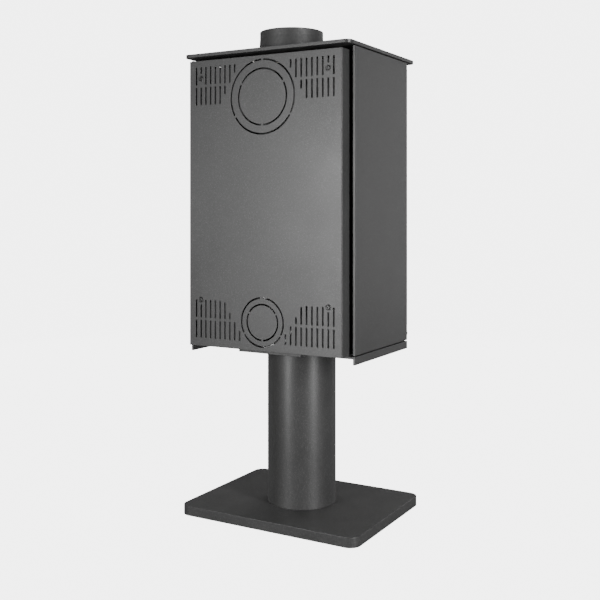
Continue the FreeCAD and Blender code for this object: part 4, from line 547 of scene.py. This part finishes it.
def rope_seal():
    """Braided rope lying in the door's channel.

    The centre line is a rectangle with quarter-circle corners, by length s.
    A ring point is centre + r * (half width * cos a * outward + half depth *
    sin a * backward).  With p = braids / 2 * a and q = 2 pi s / pitch, the two
    crossing strand families are |cos((p + q) / 2)| and |cos((p - q) / 2)|, the
    one on top changes with cos p * cos q, and r is 1 less a share of how far
    the point lies under the crown of the strand on top.
    """
    half_width, corner, pitch, step = 5 * MM, 9 * MM, 13 * MM, 1.3 * MM
    braids, around, relief, crossing_sharpness, lay_girth = 8, 28, 0.16, 3, 0.03
    low, high = (np.array(end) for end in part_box("door_seal"))
    middle, (half_x, half_depth, half_z) = (low + high) / 2, (high - low) / 2
    run_x, run_z = half_x - half_width - corner, half_z - half_width - corner
    bend = corner * math.pi / 2
    lengths = np.array([run_z * 2, bend, run_x * 2, bend] * 2)
    ends = np.concatenate([[0], np.cumsum(lengths)])
    whole = ends[-1]
    turns, count = round(whole / pitch), round(whole / step)
    s = np.arange(count) * whole / count
    leg = np.searchsorted(ends, s, side="right") - 1
    in_bend, quarter = leg % 2 == 1, leg // 2
    t = (s - ends[leg]) / lengths[leg]
    turn = (quarter + np.where(in_bend, t, 0.0)) * math.pi / 2
    outward = np.stack([np.cos(turn), np.zeros(count), np.sin(turn)], 1)
    leg_starts = np.array([(1, -1), (1, 1), (-1, 1), (-1, -1)])
    leg_ends = np.roll(leg_starts, -1, axis=0)
    bend_middle = leg_ends[quarter] * (run_x, run_z)
    t = t[:, None]
    straight = (leg_starts[quarter] * (1 - t) + leg_ends[quarter] * t) * (run_x, run_z)
    flat = np.where(in_bend[:, None], bend_middle, straight)
    line = np.stack([flat[:, 0], np.zeros(count), flat[:, 1]], 1) + outward * corner + middle
    a = np.linspace(0, 2 * math.pi, around, endpoint=False)
    p, q = braids / 2 * a[None, :], 2 * math.pi * turns * s[:, None] / whole
    one, other = np.abs(np.cos((p + q) / 2)), np.abs(np.cos((p - q) / 2))
    over = 0.5 + 0.5 * np.tanh(crossing_sharpness * np.cos(p) * np.cos(q))
    crown = over * one + (1 - over) * other
    r = 1 - relief * (1 - crown)
    points = (line[:, None, :] + (r * half_width * np.cos(a))[..., None] * outward[:, None, :]
              + (r * half_depth * np.sin(a))[..., None] * np.array((0.0, 1.0, 0.0)))
    rope = mesh_piece("rope_seal", points, grid_faces(count, around, True, True)[:, ::-1])
    marks = rope.data.attributes.new("crown", "FLOAT", "POINT")
    marks.data.foreach_set("value", crown.astype(np.float32).ravel())
    lay = rope.data.uv_layers.new(name="lay")
    corners = np.zeros(len(rope.data.loops), np.int32)
    rope.data.loops.foreach_get("vertex_index", corners)
    uv = np.stack([s[corners // around], (corners % around) / around * lay_girth], 1)
    lay.data.foreach_set("uv", uv.astype(np.float32).ravel())
    settle(rope, "door_seal", ["door_seal"])


def turned_knob():
    """Turned knob of the air control, with a bore for its rod.

    One profile of (distance along the axis, radius) is turned about the axis: a
    dome (depth * (1 - cos u), width * sin u) for u over a quarter circle, a
    shoulder, three half-circle grooves, a chamfered end and the bore.
    """
    low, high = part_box("air_control_knob")
    rod_low, rod_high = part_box("air_control_rod")
    radius, length = (high.x - low.x) / 2, high.y - low.y
    bore, bore_end = (rod_high.x - rod_low.x) / 2, rod_low.y - low.y
    centre = ((low.x + high.x) / 2, low.y, (low.z + high.z) / 2)
    dome_depth, dome_width = 0.35 * radius, 0.86 * radius
    groove, chamfer, groove_places = 0.5 * MM, 0.4 * MM, (0.34, 0.46, 0.58)
    rise, dip = np.linspace(0, math.pi / 2, 8), np.linspace(0, math.pi, 7)
    dome = np.stack([dome_depth * (1 - np.cos(rise)), dome_width * np.sin(rise)], 1)
    shoulder = [(0.12 * length, 0.97 * radius), (0.15 * length, radius)]
    half_circle = -groove * np.stack([np.cos(dip), np.sin(dip)], 1)
    grooves = [half_circle + (length * place, radius) for place in groove_places]
    end = [(length - chamfer, radius), (length, radius - chamfer), (length, bore),
           (bore_end, bore), (bore_end, 0.0)]
    knob = turned("turned_knob", [centre], (0, 1, 0),
                  np.concatenate([dome, shoulder, *grooves, end]), 48)
    settle(knob, "air_control_knob", ["air_control_knob"])


def screw_shadow_rings():
    """Black rings round the four screw heads of the back cover: painted shadow round each head.

    Each is a ring turned about its screw's axis: flat under, straight inside,
    and with a quarter-round outer rim (thick - rim + rim * sin u, outer - rim +
    rim * cos u).
    """
    low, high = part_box("back_cover_screws")
    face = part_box("back_cover")[1].y
    head, outer, thick, rim = 5.0 * MM, 6.6 * MM, 0.7 * MM, 0.5 * MM
    slack, lift = 0.05 * MM, 0.02 * MM          # round the head, and off the cover
    centres = [(x, face, z) for x in (low.x + head, high.x - head)
               for z in (low.z + head, high.z - head)]
    inner = head + slack
    u = np.linspace(0, math.pi / 2, 5)
    round_rim = np.stack([thick - rim + rim * np.sin(u), outer - rim + rim * np.cos(u)], 1)
    profile = np.concatenate([[(lift, inner), (lift, outer)], round_rim,
                              [(thick, inner), (lift, inner)]])
    # the dark rings are painted shadow in the gap round each screw head
    settle(turned("screw_shadow_rings", centres, (0, 1, 0), profile, 32), "back_cover_screws")


FLAT_WITHIN, SHARP_ABOVE = math.radians(2), math.radians(40)
EASED = {
    "hearth_bricks": 1.5 * MM, "fire_bricks_side": 1.5 * MM, "baffle_lower": 1.5 * MM,
    "grate": 1.2 * MM, "log_retainer": 1.0 * MM, "firebox_feet": 0.8 * MM,
    "latch_keeper": 0.4 * MM, "body_floor_tray": 0.5 * MM, "baffle_upper": 0.5 * MM,
}


def bevelled_copy(node, width):
    """Joined copy of a plain block, its flat faces whole, with a fine bevel on every edge."""
    source = frame["nodes"][node].data
    made = bmesh.new()
    made.from_mesh(source)
    bmesh.ops.remove_doubles(made, verts=made.verts, dist=SAME_POINT)
    bmesh.ops.dissolve_limit(made, angle_limit=FLAT_WITHIN, verts=made.verts, edges=made.edges)
    mesh = bpy.data.meshes.new(node + "_eased")
    made.to_mesh(mesh)
    made.free()
    if "custom_normal" in mesh.attributes:
        mesh.attributes.remove(mesh.attributes["custom_normal"])
    mesh.polygons.foreach_set("use_smooth", np.ones(len(mesh.polygons), bool))
    piece = bpy.data.objects.new(node + "_eased", mesh)
    bpy.context.scene.collection.objects.link(piece)
    corner = piece.modifiers.new("corner", "BEVEL")
    corner.width, corner.segments = width, 3
    corner.limit_method, corner.angle_limit = "ANGLE", SHARP_ABOVE
    corner.harden_normals = True
    settle(piece, node, [node])


# ---------------------------------------------------------------- studio
FLOOR_RADIUS, COVE_RADIUS, WALL_TOP, SWEEP_STEPS = 5.0, 1.5, 4.6, 96
PAPER_GLOW, SKY_STRENGTH = 5.0, 0.14
LIGHT_DISTANCE, LIGHT_AIM = 3.0, 0.6            # from the upright axis, and above the floor
LIGHTS = (
    # name, turn and rise in degrees, width, height, power in watts, seen in gloss
    ("rear_softbox", 74, 0, 0.7, 1.6, 71.0, True),
    ("rear_fill", 50, 2, 0.7, 1.6, 3.0, True),
    ("side_softbox", 159, 4, 0.58, 1.8, 106.0, True),
    ("door_softbox", 256, 6, 0.7, 1.8, 9.0, True),
    ("front_softbox", 272, 38, 1.2, 0.8, 26.0, False),
    ("front_fill", 274, 10, 1.6, 1.6, 30.0, False),
    ("far_side_fill", 338, 8, 1.6, 1.6, 54.0, False),
)


def set_sweep():
    """Round pale floor that sweeps up into a wall, as a backdrop only.

    A point is (r cos a, r sin a, z), for a going once round and (r, z) along a
    level floor, a quarter circle and an upright wall.  It glows evenly towards
    the camera and through the glass, but throws no light and shows in no gloss.
    """
    bend = np.linspace(0, math.pi / 2, 13)[1:]
    inner = FLOOR_RADIUS - COVE_RADIUS
    profile = np.concatenate([
        np.stack([np.linspace(0.0, inner, 4), np.zeros(4)], 1),
        np.stack([inner + COVE_RADIUS * np.sin(bend), COVE_RADIUS * (1 - np.cos(bend))], 1),
        [(FLOOR_RADIUS, WALL_TOP)]])
    angle = np.linspace(0, 2 * math.pi, SWEEP_STEPS, endpoint=False)
    points = np.stack([profile[:, :1] * np.cos(angle), profile[:, :1] * np.sin(angle),
                       np.repeat(profile[:, 1:], SWEEP_STEPS, 1)], 2)
    sweep = mesh_piece("studio_sweep", points,
                       grid_faces(len(profile), SWEEP_STEPS, False, True))
    material, tree, shader, place = start_finish(
        "studio_paper", Roughness=1.0, Specular_IOR_Level=0.0, Emission_Strength=PAPER_GLOW)
    paper = noise(tree, place, 2.0)
    tree.links.new(blend(tree, paper, grey(0.10), grey(0.12)), shader.inputs["Base Color"])
    seen = tree.nodes.new("ShaderNodeLightPath").outputs["Is Camera Ray"]
    tree.links.new(blend(tree, seen, grey(0.25), grey(1.0)), shader.inputs["Emission Color"])
    sweep.data.materials.append(material)
    sweep.visible_diffuse = sweep.visible_glossy = False


def set_lights():
    """Soft rectangular lights round the stove, each aimed at the upright axis."""
    for name, turn, rise, width, height, power, in_gloss in LIGHTS:
        lamp = bpy.data.lights.new(name, "AREA")
        lamp.shape, lamp.size, lamp.size_y, lamp.energy = "RECTANGLE", width, height, power
        light = bpy.data.objects.new(name, lamp)
        turn, rise = math.radians(turn), math.radians(rise)
        light.location = (LIGHT_DISTANCE * math.cos(turn) * math.cos(rise),
                          LIGHT_DISTANCE * math.sin(turn) * math.cos(rise),
                          LIGHT_DISTANCE * math.sin(rise) + LIGHT_AIM)
        light.rotation_euler = (math.pi / 2 - rise, 0, turn + math.pi / 2)
        light.visible_camera, light.visible_glossy = False, in_gloss
        bpy.context.scene.collection.objects.link(light)


def set_sky():
    """Weak even light from everywhere."""
    sky = bpy.data.worlds.new("studio_sky")
    sky.use_nodes = True
    background = sky.node_tree.nodes["Background"].inputs
    background["Color"].default_value = grey(1.0)
    background["Strength"].default_value = SKY_STRENGTH
    bpy.context.scene.world = sky


set_camera()
set_sweep()
set_lights()
set_sky()
dress_cad_nodes()
rope_seal()
turned_knob()
screw_shadow_rings()
for block, width in EASED.items():
    bevelled_copy(block, width)
